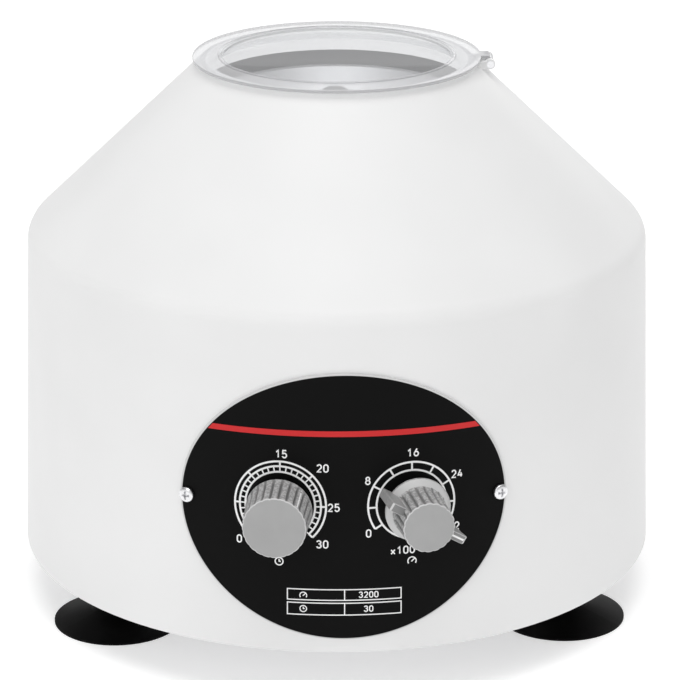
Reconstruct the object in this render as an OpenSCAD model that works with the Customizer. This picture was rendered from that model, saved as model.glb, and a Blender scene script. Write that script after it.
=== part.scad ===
/* [Body] */
// Diameter of the body at its bottom edge
body_d = 260; // [250:1:300]
// Height of the body's bottom edge above the bench
body_z = 21; // [18:0.5:26]
// Height of the straight wall below the shoulder
wall_h = 131.8; // [128:0.1:150]
// Lean of the straight wall, so that the moulding leaves its tool
draft = 2.03; // [0.5:0.01:2.5]
// Slope of the conical top below level
cone_angle = 43.85; // [43:0.05:46]
// Outer radius of the lip round the mouth
lip_r = 54.6; // [54:0.1:57]
// Thickness of the moulded shell
wall = 3; // [2.4:0.1:3.4]
// Radius of the soft shoulder between wall and cone
shoulder_fillet = 9; // [6:0.5:14]
// Width of the flat lip between the mouth and the cone
lip_w = 2.6; // [2:0.1:4]
// Depth of the collar inside the mouth
collar_h = 9.3; // [6:0.1:11]

/* [Panel] */
// Width of the oval control panel, seen from the front
panel_w = 123.4; // [118:0.1:126]
// Height of the oval control panel
panel_h = 105.7; // [100:0.1:108]
// Place of the panel's centre up the straight wall, as a share of its height
panel_share = 0.445; // [0.44:0.005:0.48]
// Thickness of the panel
panel_t = 1.2; // [0.8:0.1:1.6]
// Distance of the panel screws in from the panel's ends
panel_screw_inset = 2.6; // [2.2:0.1:3]
// Diameter of the panel screws' thread
panel_screw_d = 3; // [2.5:0.1:3.5]

/* [Controls] */
// Distance of the timer's shaft from the middle of the front
timer_x = 24.1; // [23.8:0.1:26]
// Distance of the speed control's shaft from the middle of the front
speed_x = 26.2; // [25:0.1:27]
// Direction of the timer's shaft, seen from above
timer_axis = -6; // [-8:0.1:-5]
// Direction of the speed control's shaft, seen from above
speed_axis = 10.8; // [9.5:0.1:13]
// Diameter of both control shafts
control_shaft_d = 6; // [5:0.1:6.3]
// Diameter of the threaded bushes round the control shafts
bush_d = 9; // [8:0.1:10]
// Depth of the flat inner bosses that the controls sit on, from the panel's face
boss_depth = 10; // [9.5:0.5:12]
// Gap between the panel and the knobs
knob_gap = 5; // [4.5:0.1:6]
// Largest radius of the timer knob
timer_knob_r = 12.6; // [11.5:0.1:13.5]
// Height of the timer knob
timer_knob_h = 17.3; // [15:0.1:20]
// Number of flutes on the timer knob
timer_flutes = 24; // [18:1:28]
// Radius of the speed knob's skirt
speed_skirt_r = 12.5; // [12:0.1:14]
// Height of the speed knob
speed_knob_h = 18.8; // [17.5:0.1:22]
// Radius of the speed knob's grip
speed_grip_r = 9.8; // [9.5:0.1:10.5]
// Number of flutes on the speed knob
speed_flutes = 20; // [14:1:22]
// Width of the pointer bar across the speed knob
pointer_w = 3.4; // [3:0.1:4.5]
// Reach of the pointer's tip from the speed knob's axis
pointer_r = 17.3; // [17:0.1:20]
// Pointing direction of the speed knob on its dial
pointer_angle = -30; // [-33:1:213]

/* [Lid] */
// Reach of the clear lid past the lip
lid_overhang = 3.2; // [2.5:0.1:3.4]
// Thickness of the lid's flange
lid_t = 1.6; // [1.2:0.1:2.2]
// Distance of the raised ring inside the mouth's edge
lid_ring_inset = 4.4; // [3.5:0.1:7]
// Height of the raised ring above the flange
lid_ring_h = 0.6; // [0.4:0.1:2]
// Width of the raised ring
lid_ring_w = 2; // [1.4:0.1:3]
// Depth of the locating ring below the flange
spigot_h = 4; // [3:0.1:5]
// Distance of the hinge pin from the lid's edge
hinge_reach = 3.2; // [3:0.1:3.8]
// Diameter of the hinge pin
hinge_pin_d = 1.6; // [1.4:0.1:2]
// Half the width of the lid's hinge barrel
hinge_half = 4.5; // [4:0.5:10]
// Thickness of the ears that hold the hinge pin
ear_t = 2.2; // [1.8:0.1:4]

/* [Rotor] */
// Number of tubes
tubes = 6; // [4:1:6]
// Lean of the tubes from upright
tube_angle = 45; // [44:0.5:46]
// Outer diameter of the tubes, which the sleeves fit
tube_d = 18; // [16:0.1:18.4]
// Wall of the metal sleeves
sleeve_wall = 1; // [0.8:0.1:1.3]
// Radial gap between the rotor's rim and the mouth that it passes through
rotor_gap = 1.5; // [1:0.1:2.5]
// Distance of the sleeves' mouths in from the rotor's rim
tube_inset = 18.5; // [17:0.1:19]
// Depth of the sleeves' mouths below the body's mouth
tube_drop = 28.7; // [28:0.1:31]
// Gap from the bottom of a tube to the wall of the chamber bowl
tube_gap = 12; // [11:0.5:15]
// Thickness of the rotor's dish
dish_t = 8; // [6:0.5:9]
// Length of the sockets below the dish
socket_l = 38; // [30:0.5:42]
// Diameter of the rotor's shaft
shaft_d = 8; // [7:0.1:8.5]

/* [Chamber and base] */
// Distance from the body's shoulder in to the chamber bowl
bowl_inset = 13.3; // [13:0.1:15]
// Height of the bowl's rim above the shoulder
bowl_rise = 1; // [-4:0.5:2]
// Height from the chamber's floor up to the level of the tubes' bottoms
tube_floor_gap = 14; // [12:0.5:16]
// Thickness of the bowl's sheet
bowl_t = 1.5; // [1:0.1:2]
// Thickness of the base plate
base_t = 2; // [1.5:0.1:3]
// Distance of the feet in from the body's bottom edge
foot_inset = 0; // [0:0.5:4]
// Radius of a suction foot on the bench
foot_r = 26; // [23:0.5:28]
// Radius of the feet's stems
foot_stem_r = 9.3; // [8:0.1:10]

/* [Motor] */
// Outer diameter of the motor
motor_d = 84; // [80:1:88]
// Height of the motor's bottom above the bench
motor_z = 31; // [30:0.5:33]
// Gap from the motor's nose up to the chamber's floor
nose_gap = 9; // [8:0.5:12]
// Reach of the motor's arms past the motor
arm_reach = 20; // [18:0.5:22]

/* [Hidden] */
$fn = 96;

// Small amount that lets one solid reach through another
eps = 0.01;
// Radial clearance of a fixed fit, a turning fit and a loose piece
fit = 0.05;
run = 0.05;
loose = 0.3;

bottom_r = body_d / 2;
shoulder_z = body_z + wall_h;
shoulder_r = bottom_r - wall_h * tan(draft);
rim_z = shoulder_z + (shoulder_r - lip_r) * tan(cone_angle);
base_z = body_z + 1;
base_top = base_z + base_t;
base_r = bottom_r - wall - 0.6;

// Radius of the wall's outer face, and of the panel's face, at a height
function wall_r(z) = bottom_r - (z - body_z) * tan(draft);
panel_z = body_z + panel_share * wall_h;
face_r = wall_r(panel_z) + panel_t;
panel_screw_angle = asin((panel_w / 2 - panel_screw_inset) / face_r);
timer_angle = asin(timer_x / face_r);
speed_angle = asin(speed_x / face_r);

// Control dials and knobs
boss_r = bush_d / 2 + 4;
timer_w = 40;
timer_l = 42;
timer_depth = 34;
nut_h = 2.6;
nut_z = 0.7;
dial_lift = 0.75;
dial_z = panel_z + dial_lift;

// Mouth, lid and hinge
mouth_r = lip_r - lip_w;
lid_z = rim_z;
lid_r = lip_r + lid_overhang;
lid_ring_r = mouth_r - lid_ring_inset;
hinge_x = lid_r + hinge_reach;
hinge_z = rim_z - 1.3;
hinge_barrel_r = hinge_pin_d / 2 + 1.1;
ear_r = hinge_pin_d / 2 + 1.2;
spigot_r = mouth_r - 0.6;

// Chamber bowl and rotor: the lean of the dish follows the tubes, which reach out to the bowl
bowl_r = shoulder_r - bowl_inset;
rotor_r = mouth_r - rotor_gap;
tube_mouth_r = rotor_r - tube_inset;
tube_mouth_z = rim_z - tube_drop;
tube_tip_r = bowl_r - tube_gap;
bowl_z = tube_mouth_z - (tube_tip_r - tube_mouth_r) / tan(tube_angle) - tube_floor_gap;
bowl_h = shoulder_z + bowl_rise - bowl_z;
bowl_floor = bowl_z + bowl_t;
floor_hole_r = 16;
sleeve_r = tube_d / 2 + sleeve_wall;
sleeve_collar_r = sleeve_r + 3;
sleeve_collar_t = 2;
socket_bore_r = sleeve_r + fit;
socket_r = socket_bore_r + 3;
pad_t = 3;
tip_t = (tube_tip_r - tube_mouth_r) / sin(tube_angle);
sleeve_end_t = tip_t + pad_t - tube_d / 2;
dish_r = rotor_r - 4.7;
hub_r = 14;
hub_top_r = 12;
hub_bottom = tube_mouth_z - 42;
web_r = tube_mouth_r + 24;
web_t = 4;
web_z = tube_mouth_z - 30;
shaft_r = shaft_d / 2;
function dish_face(r) = tube_mouth_z + (r - tube_mouth_r) * tan(tube_angle);
function dish_under(r) = dish_face(r) - dish_t / cos(tube_angle);
rotor_top = dish_face(dish_r);
hub_top = dish_face(hub_top_r) + 4;
washer_t = 1.2;
nut_m = 6.5;

// Motor: its pieces stand on one axis, and its iron fills the height under the chamber
motor_r = motor_d / 2;
cap_h = 9;
can_z = motor_z + cap_h;
comm_z = can_z + 2;
comm_h = 8;
comm_r = 12;
end_turn_h = 6;
core_z = comm_z + comm_h + end_turn_h;
core_r = motor_r - 19.2;
air_gap = 0.7;
motor_wall = 2;
yoke_r = motor_r - motor_wall - 4;
shoe_r = core_r + 5;
shoe_w = core_r * 1.5;
neck_w = shoe_w - 8;
fan_h = 5;
arm_t = 4;
bearing_r = 11;
bearing_h = 7;
nose_top = bowl_z - nose_gap;
top_cap_z = nose_top - bearing_h - 2;
fan_z = top_cap_z - fan_h;
core_h = fan_z - core_z - end_turn_h - 1;
motor_arm_r = motor_r + arm_reach;
bearing_low_z = motor_z + 2;
bearing_high_z = top_cap_z + 2;
ball_circle_r = (bearing_r + shaft_r) / 2;
ball_r = 1.95;
ring_gap = 1.6;
damper_h = 6;
damper_r = 8;
arm_angles = [60, 180, 300];
nose_r = bearing_r + 3;
pillar_r = 5;
bolt_r = 2.5;

// Chamber supports and base
post_angles = [60, 180, 300];
post_r = 4;
post_bore_l = 14;
post_circle_r = bowl_r - 12;
foot_circle_r = bottom_r - foot_r - foot_inset;
boss_angles = [45, 135, 225, 315];
base_boss_r = 4.5;
base_boss_h = 20;
base_boss_circle_r = bottom_r - wall - 8.5;
foot_angles = [-30, -150, 90];
stud_r = 3;

// Circuit board
board_x = bottom_r - 42;
board_w = 46;
board_l = 70;
board_z = base_top + 10;
board_t = 1.6;
sink_l = 30;
sink_h = 24;
cap_l = 20;

// Mains inlet at the back
inlet_z = 62;
pad_y = bottom_r - 5;
inlet_w = 27;
inlet_h = 19.5;
flange_w = 50;
flange_h = 23;
flange_t = 2.5;
inlet_depth = 20;
inlet_screw_x = 20;

// Profile of the shell, set in by a distance from the outer face
function normal(a) = [cos(a), sin(a)];
function fillet_centre(r) =
    [shoulder_r, shoulder_z] - r * (normal(draft) + normal(90 - cone_angle))
    / (1 + normal(draft) * normal(90 - cone_angle));
function skin(inset) = concat(
    [[bottom_r - inset / cos(draft), body_z]],
    [for (i = [0:8])
        fillet_centre(shoulder_fillet)
        + (shoulder_fillet - inset) * normal(draft + (90 - cone_angle - draft) * i / 8)]);
function inner_cone_z(r) =
    shoulder_z + (shoulder_r - wall / sin(cone_angle) - r) * tan(cone_angle);
function reversed(list) = [for (i = [len(list) - 1:-1:0]) list[i]];

module ring(outer, inner, h) {
    difference() {
        cylinder(r = outer, h = h);
        translate([0, 0, -eps]) cylinder(r = inner, h = h + 2 * eps);
    }
}

module at_angles(angles, r) {
    for (a = angles) rotate([0, 0, a]) translate([r, 0, 0]) children();
}

module all_round(n, r) {
    for (i = [0:n - 1]) rotate([0, 0, 360 / n * i]) translate([r, 0, 0]) children();
}

// Frame of a control: origin on the panel's face, Z out along the shaft, Y up
module at_control(place, direction) {
    translate([face_r * sin(place), -face_r * cos(place), dial_z])
        rotate([90, 0, direction]) children();
}

module at_timer() at_control(-timer_angle, timer_axis) children();
module at_speed() at_control(speed_angle, speed_axis) children();

module at_panel_screws() {
    for (side = [-1, 1]) at_control(side * panel_screw_angle, side * panel_screw_angle) children();
}

// Frame of a tube: origin at the sleeve's seat, Z down along the tube
module at_tubes() {
    for (i = [0:tubes - 1])
        rotate([0, 0, 360 / tubes * (i + 0.5)])
            translate([tube_mouth_r, 0, tube_mouth_z])
                rotate([0, 180 - tube_angle, 0]) children();
}

// Frame of the lid's hinge: Z along the pin, X towards the lid's far side
module at_hinge() {
    translate([hinge_x, 0, hinge_z]) rotate([90, 0, 0]) children();
}

module body_shell() {
    color("white") difference() {
        union() {
            rotate_extrude($fn = 180) polygon(concat(
                skin(0),
                [[lip_r, rim_z], [mouth_r, rim_z], [mouth_r, rim_z - collar_h],
                 [lip_r, rim_z - collar_h], [lip_r, inner_cone_z(lip_r)]],
                reversed(skin(wall))));
            inner_bosses();
            inlet_pad();
            for (side = [-1, 1]) hinge_ear(side);
        }
        at_timer() control_hole();
        at_speed() control_hole();
        at_panel_screws()
            translate([0, 0, -boss_depth]) cylinder(r = panel_screw_d / 2 + fit, h = boss_depth * 2);
        at_angles(boss_angles, base_boss_circle_r)
            translate([0, 0, base_top - eps]) cylinder(r = 1.5 + fit, h = base_boss_h - 4);
        translate([-flange_w / 2 - 2, pad_y, inlet_z - flange_h / 2 - 2])
            cube([flange_w + 4, wall * 4, flange_h + 4]);
        translate([-inlet_w / 2 - fit * 4, pad_y - wall * 2, inlet_z - inlet_h / 2 - fit * 4])
            cube([inlet_w + fit * 8, wall * 4, inlet_h + fit * 8]);
        for (side = [-1, 1])
            translate([side * inlet_screw_x, pad_y + wall, inlet_z]) rotate([90, 0, 0])
                cylinder(r = 1.5 + fit, h = wall * 3);
    }
}

module control_hole() {
    translate([0, 0, -boss_depth * 2]) cylinder(r = bush_d / 2 + fit, h = boss_depth * 3);
}

// Flat seats and screw bosses moulded on the inside of the shell
module inner_bosses() {
    intersection() {
        union() {
            at_timer() translate([0, 0, -boss_depth]) cylinder(r = boss_r, h = boss_depth);
            at_speed() translate([0, 0, -boss_depth]) cylinder(r = boss_r, h = boss_depth);
            at_panel_screws() translate([0, 0, -boss_depth]) cylinder(r = 3.5, h = boss_depth);
            at_angles(boss_angles, base_boss_circle_r) {
                translate([0, 0, base_top]) cylinder(r = base_boss_r, h = base_boss_h);
                translate([0, -1.25, base_top]) cube([12, 2.5, base_boss_h]);
            }
        }
        rotate_extrude($fn = 180) polygon(concat(
            [[0, body_z]], skin(wall / 2), [[0, shoulder_z]]));
    }
}

module inlet_pad() {
    intersection() {
        translate([-flange_w / 2 - 5, pad_y - wall, inlet_z - flange_h / 2 - 5])
            cube([flange_w + 10, wall * 3, flange_h + 10]);
        rotate_extrude($fn = 180) polygon(concat([[0, body_z]], skin(wall / 2), [[0, shoulder_z]]));
    }
}

// Ear that reaches out from the lip, just under the lid's flange
module hinge_ear(side) {
    y = side > 0 ? hinge_half + loose : -hinge_half - loose - ear_t;
    arm_l = hinge_x - lip_r;
    arm_top = rim_z - loose - hinge_z;
    translate([hinge_x, y + ear_t, hinge_z]) rotate([90, 0, 0]) difference() {
        linear_extrude(ear_t) union() {
            circle(r = ear_r);
            translate([-arm_l, -ear_r]) square([arm_l, ear_r + arm_top]);
        }
        translate([0, 0, -eps]) cylinder(r = hinge_pin_d / 2 + fit, h = ear_t + 2 * eps);
    }
}

// Thin oval cut from a cone that lies on the wall
module control_panel() {
    color([0.1, 0.1, 0.11]) difference() {
        intersection() {
            rotate_extrude($fn = 180) polygon([
                [wall_r(panel_z - panel_h), panel_z - panel_h],
                [wall_r(panel_z - panel_h) + panel_t, panel_z - panel_h],
                [wall_r(panel_z + panel_h) + panel_t, panel_z + panel_h],
                [wall_r(panel_z + panel_h), panel_z + panel_h]]);
            translate([0, 0, panel_z]) rotate([90, 0, 0]) linear_extrude(body_d)
                polygon([for (a = [0:3:357]) [panel_w / 2 * cos(a), panel_h / 2 * sin(a)]]);
        }
        at_timer() control_hole();
        at_speed() control_hole();
        at_panel_screws()
            translate([0, 0, -boss_depth]) cylinder(r = panel_screw_d / 2 + 0.2, h = boss_depth * 2);
    }
}

module panel_screws() {
    color("silver") at_panel_screws() union() {
        translate([0, 0, -boss_depth + 1]) cylinder(r = panel_screw_d / 2, h = boss_depth);
        rotate_extrude() polygon([
            [0, 0.15], [panel_screw_d, 0.15], [panel_screw_d, 1.1], [panel_screw_d * 0.8, 1.9],
            [0, 2.1]]);
    }
}

module base_plate() {
    color("silver") difference() {
        translate([0, 0, base_z]) cylinder(r = base_r, h = base_t, $fn = 180);
        at_angles(boss_angles, base_boss_circle_r) hole(1.5 + fit);
        at_angles(foot_angles, foot_circle_r) hole(stud_r + fit);
        at_angles(post_angles, post_circle_r) hole(2 + fit);
        at_angles(arm_angles, motor_arm_r) hole(2 + fit);
        for (i = [0:11]) rotate([0, 0, 30 * i]) {
            translate([16, -1.5, base_z - eps]) cube([20, 3, base_t + 2 * eps]);
        }
    }
}

module hole(r) {
    translate([0, 0, base_z - eps]) cylinder(r = r, h = base_t + 2 * eps);
}

module base_screws() {
    color("silver") at_angles(boss_angles, base_boss_circle_r) {
        translate([0, 0, base_z - 0.05]) cylinder(r = 1.5, h = base_t + 12);
        translate([0, 0, base_z - 2]) cylinder(r = 3, h = 2);
    }
}

// Rubber cup with a thin skirt, a waisted stem and a flat top under the base plate
module suction_feet() {
    color([0.06, 0.06, 0.06]) at_angles(foot_angles, foot_circle_r) difference() {
        rotate_extrude() polygon([
            [0, 4.2], [6, 4.0], [foot_r * 0.7, 1.5], [foot_r - 1.6, 0], [foot_r, 0], [foot_r, 0.7],
            [foot_r * 0.8, 2.2], [foot_r * 0.55, 4.1], [foot_stem_r + 1.6, 5.2], [foot_stem_r, 6.4],
            [foot_stem_r * 0.86, 9], [foot_stem_r * 0.86, 13], [foot_stem_r, 15.5],
            [foot_stem_r, base_z], [0, base_z]]);
        translate([0, 0, base_z - 10]) cylinder(r = stud_r + fit, h = 10 + eps);
    }
}

module foot_studs() {
    color("silver") at_angles(foot_angles, foot_circle_r)
        translate([0, 0, base_z - 9.8]) cylinder(r = stud_r, h = base_t + 9.8 + 6);
}

module foot_nuts() {
    color("silver") at_angles(foot_angles, foot_circle_r)
        translate([0, 0, base_top]) difference() {
            cylinder(r = 5.8, h = 5, $fn = 6);
            translate([0, 0, -eps]) cylinder(r = stud_r + fit, h = 6);
        }
}

// Open bowl of sheet metal with a soft corner and a flared rim
module chamber_bowl() {
    corner = 8;
    flare = 4;
    rim = bowl_z + bowl_h;
    color("gainsboro") difference() {
        rotate_extrude($fn = 180) polygon(concat(
            [[floor_hole_r, bowl_z], [floor_hole_r, bowl_floor]],
            bowl_corner(corner, 0),
            [[bowl_r, rim - flare], [bowl_r + flare, rim], [bowl_r + flare + bowl_t, rim],
             [bowl_r + bowl_t, rim - flare - bowl_t / 2]],
            reversed(bowl_corner(corner, bowl_t))));
        at_angles(post_angles, post_circle_r)
            translate([0, 0, bowl_z - eps]) cylinder(r = 2 + fit, h = bowl_t + 2 * eps);
    }
}

function bowl_corner(corner, out) = [for (i = [0:6])
    [bowl_r - corner, bowl_floor + corner] + (corner + out) * normal(-90 + 15 * i)];

module bowl_posts() {
    color("silver") at_angles(post_angles, post_circle_r) difference() {
        translate([0, 0, base_z + base_t]) cylinder(r = post_r, h = bowl_z - base_top);
        translate([0, 0, bowl_z - post_bore_l]) cylinder(r = 2 + fit, h = post_bore_l + eps);
    }
}

module bowl_screws() {
    color("silver") at_angles(post_angles, post_circle_r) {
        translate([0, 0, bowl_z - post_bore_l + 2]) cylinder(r = 2, h = bowl_t + post_bore_l - 2);
        translate([0, 0, bowl_floor]) cylinder(r = 3.8, h = 1.6);
    }
}

// Rubber bellows that closes the chamber floor round the motor's nose
module shaft_boot() {
    grip = nose_r + fit;
    neck = floor_hole_r - fit;
    color([0.08, 0.08, 0.08]) rotate_extrude() polygon([
        [grip, nose_top - 2.5], [grip + 2, nose_top - 2.5], [grip + 2, nose_top + 3],
        [grip + 5, bowl_z - 3.5], [grip + 5, bowl_z], [neck, bowl_z],
        [neck, bowl_floor], [neck + 3, bowl_floor], [neck + 3, bowl_floor + 1.2],
        [neck - 2, bowl_floor + 2], [neck - 2, bowl_z - 1.5], [grip + 3.4, bowl_z - 3],
        [grip, nose_top + 3.6]]);
}

module motor_pillars() {
    color("silver") at_angles(arm_angles, motor_arm_r) difference() {
        translate([0, 0, base_top]) cylinder(r = pillar_r, h = top_cap_z - damper_h - base_top);
        translate([0, 0, top_cap_z - damper_h - 16]) cylinder(r = bolt_r + fit, h = 16 + eps);
    }
}

module vibration_dampers() {
    color([0.1, 0.1, 0.1]) at_angles(arm_angles, motor_arm_r)
        translate([0, 0, top_cap_z - damper_h]) rotate_extrude() polygon([
            [bolt_r + fit, 0], [damper_r, 0], [damper_r, 1.5], [damper_r - 1.5, damper_h / 2],
            [damper_r, damper_h - 1.5], [damper_r, damper_h], [bolt_r + fit, damper_h]]);
}

module damper_bolts() {
    color("silver") at_angles(arm_angles, motor_arm_r) {
        translate([0, 0, top_cap_z - damper_h - 14])
            cylinder(r = bolt_r, h = 14 + damper_h + arm_t + eps);
        translate([0, 0, top_cap_z + arm_t]) cylinder(r = 4.3, h = 3.2, $fn = 6);
    }
}

// Cast end bell with a bearing seat, a nose and three arms
module motor_top_cap() {
    color("silver") difference() {
        union() {
            translate([0, 0, top_cap_z]) cylinder(r = motor_r, h = arm_t);
            translate([0, 0, top_cap_z]) cylinder(r = nose_r, h = nose_top - top_cap_z);
            for (a = arm_angles) rotate([0, 0, a]) {
                translate([0, -7, top_cap_z]) cube([motor_arm_r, 14, arm_t]);
                translate([motor_arm_r, 0, top_cap_z]) cylinder(r = damper_r + 1, h = arm_t);
                translate([bearing_r, -1.5, top_cap_z]) cube([motor_r - bearing_r - 8, 3, arm_t + 2]);
            }
        }
        translate([0, 0, bearing_high_z]) cylinder(r = bearing_r + fit, h = bearing_h + eps);
        translate([0, 0, top_cap_z - eps]) cylinder(r = shaft_r + 3, h = 10);
        at_angles(arm_angles, motor_arm_r)
            translate([0, 0, top_cap_z - eps]) cylinder(r = bolt_r + fit, h = arm_t + 2 * eps);
        for (a = arm_angles, s = [20, 60, 100]) rotate([0, 0, a + s])
            translate([24, -3, top_cap_z - eps]) cube([12, 6, arm_t + 2 * eps]);
    }
}

module motor_can() {
    color("gray") translate([0, 0, can_z]) difference() {
        ring(motor_r, motor_r - motor_wall, top_cap_z - can_z);
        for (a = [0, 180]) rotate([0, 0, a])
            translate([motor_r - 4, -5.5, comm_z - can_z]) cube([8, 11, comm_h]);
    }
}

module motor_bottom_cap() {
    color("silver") difference() {
        union() {
            translate([0, 0, can_z - 4]) cylinder(r = motor_r, h = 4);
            translate([0, 0, motor_z]) cylinder(r = nose_r, h = cap_h);
            for (i = [0:5]) rotate([0, 0, 60 * i])
                translate([bearing_r, -1.5, can_z - 7]) cube([motor_r - bearing_r - 6, 3, 4]);
        }
        translate([0, 0, bearing_low_z]) cylinder(r = bearing_r + fit, h = cap_h);
        for (i = [0:5]) rotate([0, 0, 60 * i + 30])
            translate([22, -4, can_z - 5]) cube([14, 8, 6]);
    }
}

// Two-pole laminated iron: a ring, two necks and their curved shoes
module field_core() {
    color("dimgray") translate([0, 0, core_z]) linear_extrude(core_h) difference() {
        union() {
            difference() {
                circle(r = motor_r - motor_wall - fit);
                circle(r = yoke_r);
            }
            intersection() {
                circle(r = yoke_r + 1);
                square([neck_w, motor_d], center = true);
            }
            intersection() {
                circle(r = shoe_r);
                square([shoe_w, motor_d], center = true);
            }
        }
        circle(r = core_r + air_gap);
    }
}

// Window-shaped coils that go round the two pole necks
module field_coils() {
    color([0.72, 0.4, 0.2]) for (side = [0, 180]) rotate([0, 0, side])
        translate([0, shoe_r + loose, core_z + core_h / 2]) rotate([-90, 0, 0])
            linear_extrude(3.2) difference() {
                square([neck_w + 6, core_h + 9], center = true);
                square([neck_w + 2 * loose, core_h + 2 * loose], center = true);
            }
}

module brush_holders() {
    color([0.15, 0.1, 0.08]) for (side = [0, 180]) rotate([0, 0, side])
        translate([comm_r + 1, -5.2, comm_z + 0.4]) difference() {
            cube([motor_r - comm_r - 1, 10.4, comm_h - 0.8]);
            translate([-eps, 2.2, 1.1]) cube([motor_r - comm_r - 5, 6, comm_h - 3]);
        }
}

module brushes() {
    color([0.2, 0.2, 0.2]) for (side = [0, 180]) rotate([0, 0, side])
        difference() {
            translate([comm_r - 1, -2.9, comm_z + 1.6]) cube([15, 5.8, comm_h - 3.2]);
            translate([0, 0, comm_z]) cylinder(r = comm_r + fit, h = comm_h);
        }
}

module at_bearings() {
    for (z = [bearing_low_z, bearing_high_z]) translate([0, 0, z]) children();
}

module bearing_outer_rings() {
    color("silver") at_bearings() rotate_extrude() difference() {
        translate([ball_circle_r + ring_gap, 0])
            square([bearing_r - ball_circle_r - ring_gap, bearing_h]);
        translate([ball_circle_r, bearing_h / 2]) circle(r = ball_r + fit);
    }
}

module bearing_inner_rings() {
    color("silver") at_bearings() rotate_extrude() difference() {
        translate([shaft_r + fit, 0])
            square([ball_circle_r - ring_gap - shaft_r - fit, bearing_h]);
        translate([ball_circle_r, bearing_h / 2]) circle(r = ball_r + fit);
    }
}

module bearing_balls() {
    color("silver") at_bearings() all_round(7, ball_circle_r)
        translate([0, 0, bearing_h / 2]) sphere(r = ball_r, $fn = 32);
}

module rotor_shaft() {
    color("silver") {
        translate([0, 0, bearing_low_z])
            cylinder(r = shaft_r, h = hub_top + washer_t + nut_m + 1 - bearing_low_z);
        translate([0, 0, hub_bottom - 3]) cylinder(r = shaft_r + 2, h = 3);
    }
}

// Slotted iron stack; the slots open to the air gap
module armature_core() {
    color("dimgray") translate([0, 0, core_z]) linear_extrude(core_h) difference() {
        circle(r = core_r);
        circle(r = shaft_r + fit);
        all_round(12, core_r - 4.5) circle(r = 2.4, $fn = 32);
        for (i = [0:11]) rotate([0, 0, 30 * i])
            translate([core_r - 4.5, -0.8]) square([6, 1.6]);
    }
}

// End turns above and below the iron, joined by the wires in its slots
module armature_winding() {
    color([0.72, 0.4, 0.2]) {
        for (z = [core_z - end_turn_h, core_z + core_h + loose])
            translate([0, 0, z]) rotate_extrude() polygon([
                [shaft_r + 1.5, 0.6], [shaft_r + 3, 0], [core_r - 3.4, 0],
                [core_r - 2, 1.4], [core_r - 2, end_turn_h - 1.4],
                [core_r - 3.4, end_turn_h - loose], [shaft_r + 3, end_turn_h - loose],
                [shaft_r + 1.5, end_turn_h - 1]]);
        all_round(12, core_r - 4.5)
            translate([0, 0, core_z - 1]) cylinder(r = 2.1, h = core_h + 2, $fn = 32);
    }
}

module commutator() {
    color([0.72, 0.45, 0.25]) translate([0, 0, comm_z]) difference() {
        union() {
            cylinder(r = comm_r, h = comm_h - 0.4);
            translate([0, 0, comm_h - 1.4]) cylinder(r = comm_r + 0.7, h = 1);
        }
        translate([0, 0, -eps]) cylinder(r = shaft_r + fit, h = comm_h);
        for (i = [0:11]) rotate([0, 0, 30 * i])
            translate([comm_r - 1.6, -0.3, -eps]) cube([4, 0.6, comm_h]);
    }
}

// Disc with radial blades that draws air up through the motor
module cooling_fan() {
    color([0.2, 0.2, 0.22]) translate([0, 0, fan_z]) difference() {
        union() {
            cylinder(r = 8, h = fan_h - 1);
            cylinder(r = motor_r - 8, h = 1);
            for (i = [0:9]) rotate([0, 0, 36 * i])
                translate([7, -0.6, 0]) cube([motor_r - 15.5, 1.2, fan_h - 1]);
        }
        translate([0, 0, -eps]) cylinder(r = shaft_r + fit, h = fan_h);
    }
}

// Cast head: hub, conical dish square to the tubes, web and a socket for each sleeve
module rotor_head() {
    color("gainsboro") difference() {
        union() {
            rotate_extrude() polygon([
                [shaft_r + fit, hub_bottom], [hub_r, hub_bottom],
                [hub_r, dish_under(hub_r)], [rotor_r, dish_under(rotor_r)],
                [rotor_r, rotor_top - 1], [rotor_r - 1, rotor_top], [dish_r, rotor_top],
                [hub_top_r, dish_face(hub_top_r)], [hub_top_r, hub_top - 1],
                [hub_top_r - 1, hub_top], [shaft_r + fit, hub_top]]);
            rotate_extrude() polygon([
                [hub_r - 1, web_z - web_t - 6], [hub_r, web_z - web_t - 6], [hub_r + 6, web_z - web_t],
                [web_r, web_z - web_t], [web_r, web_z], [hub_r + 6, web_z], [hub_r - 1, web_z + 6]]);
            at_tubes() translate([0, 0, 2]) cylinder(r = socket_r, h = socket_l - 2);
        }
        at_tubes() {
            translate([0, 0, -socket_l / 2]) cylinder(r = sleeve_collar_r + loose, h = socket_l / 2);
            translate([0, 0, -1]) cylinder(r = socket_bore_r, h = socket_l + 20);
        }
        translate([0, 0, hub_bottom - eps]) cylinder(r = shaft_r + fit, h = body_d);
    }
}

// Metal sleeves with a rolled collar and a round closed end
module tube_sleeves() {
    color("silver") at_tubes() difference() {
        union() {
            translate([0, 0, -sleeve_collar_t]) cylinder(r = sleeve_collar_r, h = sleeve_collar_t);
            translate([0, 0, -eps]) cylinder(r = sleeve_r, h = sleeve_end_t + eps);
            translate([0, 0, sleeve_end_t]) sphere(r = sleeve_r);
        }
        translate([0, 0, -sleeve_collar_t - eps])
            cylinder(r = tube_d / 2, h = sleeve_collar_t + sleeve_end_t + eps);
        translate([0, 0, sleeve_end_t]) sphere(r = tube_d / 2);
    }
}

// Rubber pads that carry the tubes' ends
module tube_cushions() {
    color([0.25, 0.25, 0.25]) at_tubes() intersection() {
        translate([0, 0, sleeve_end_t]) sphere(r = tube_d / 2 - fit);
        translate([0, 0, tip_t]) cylinder(r = tube_d / 2, h = pad_t + 1);
    }
}

module rotor_washer() {
    color("silver") translate([0, 0, hub_top]) ring(hub_top_r - 3, shaft_r + fit, washer_t);
}

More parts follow.
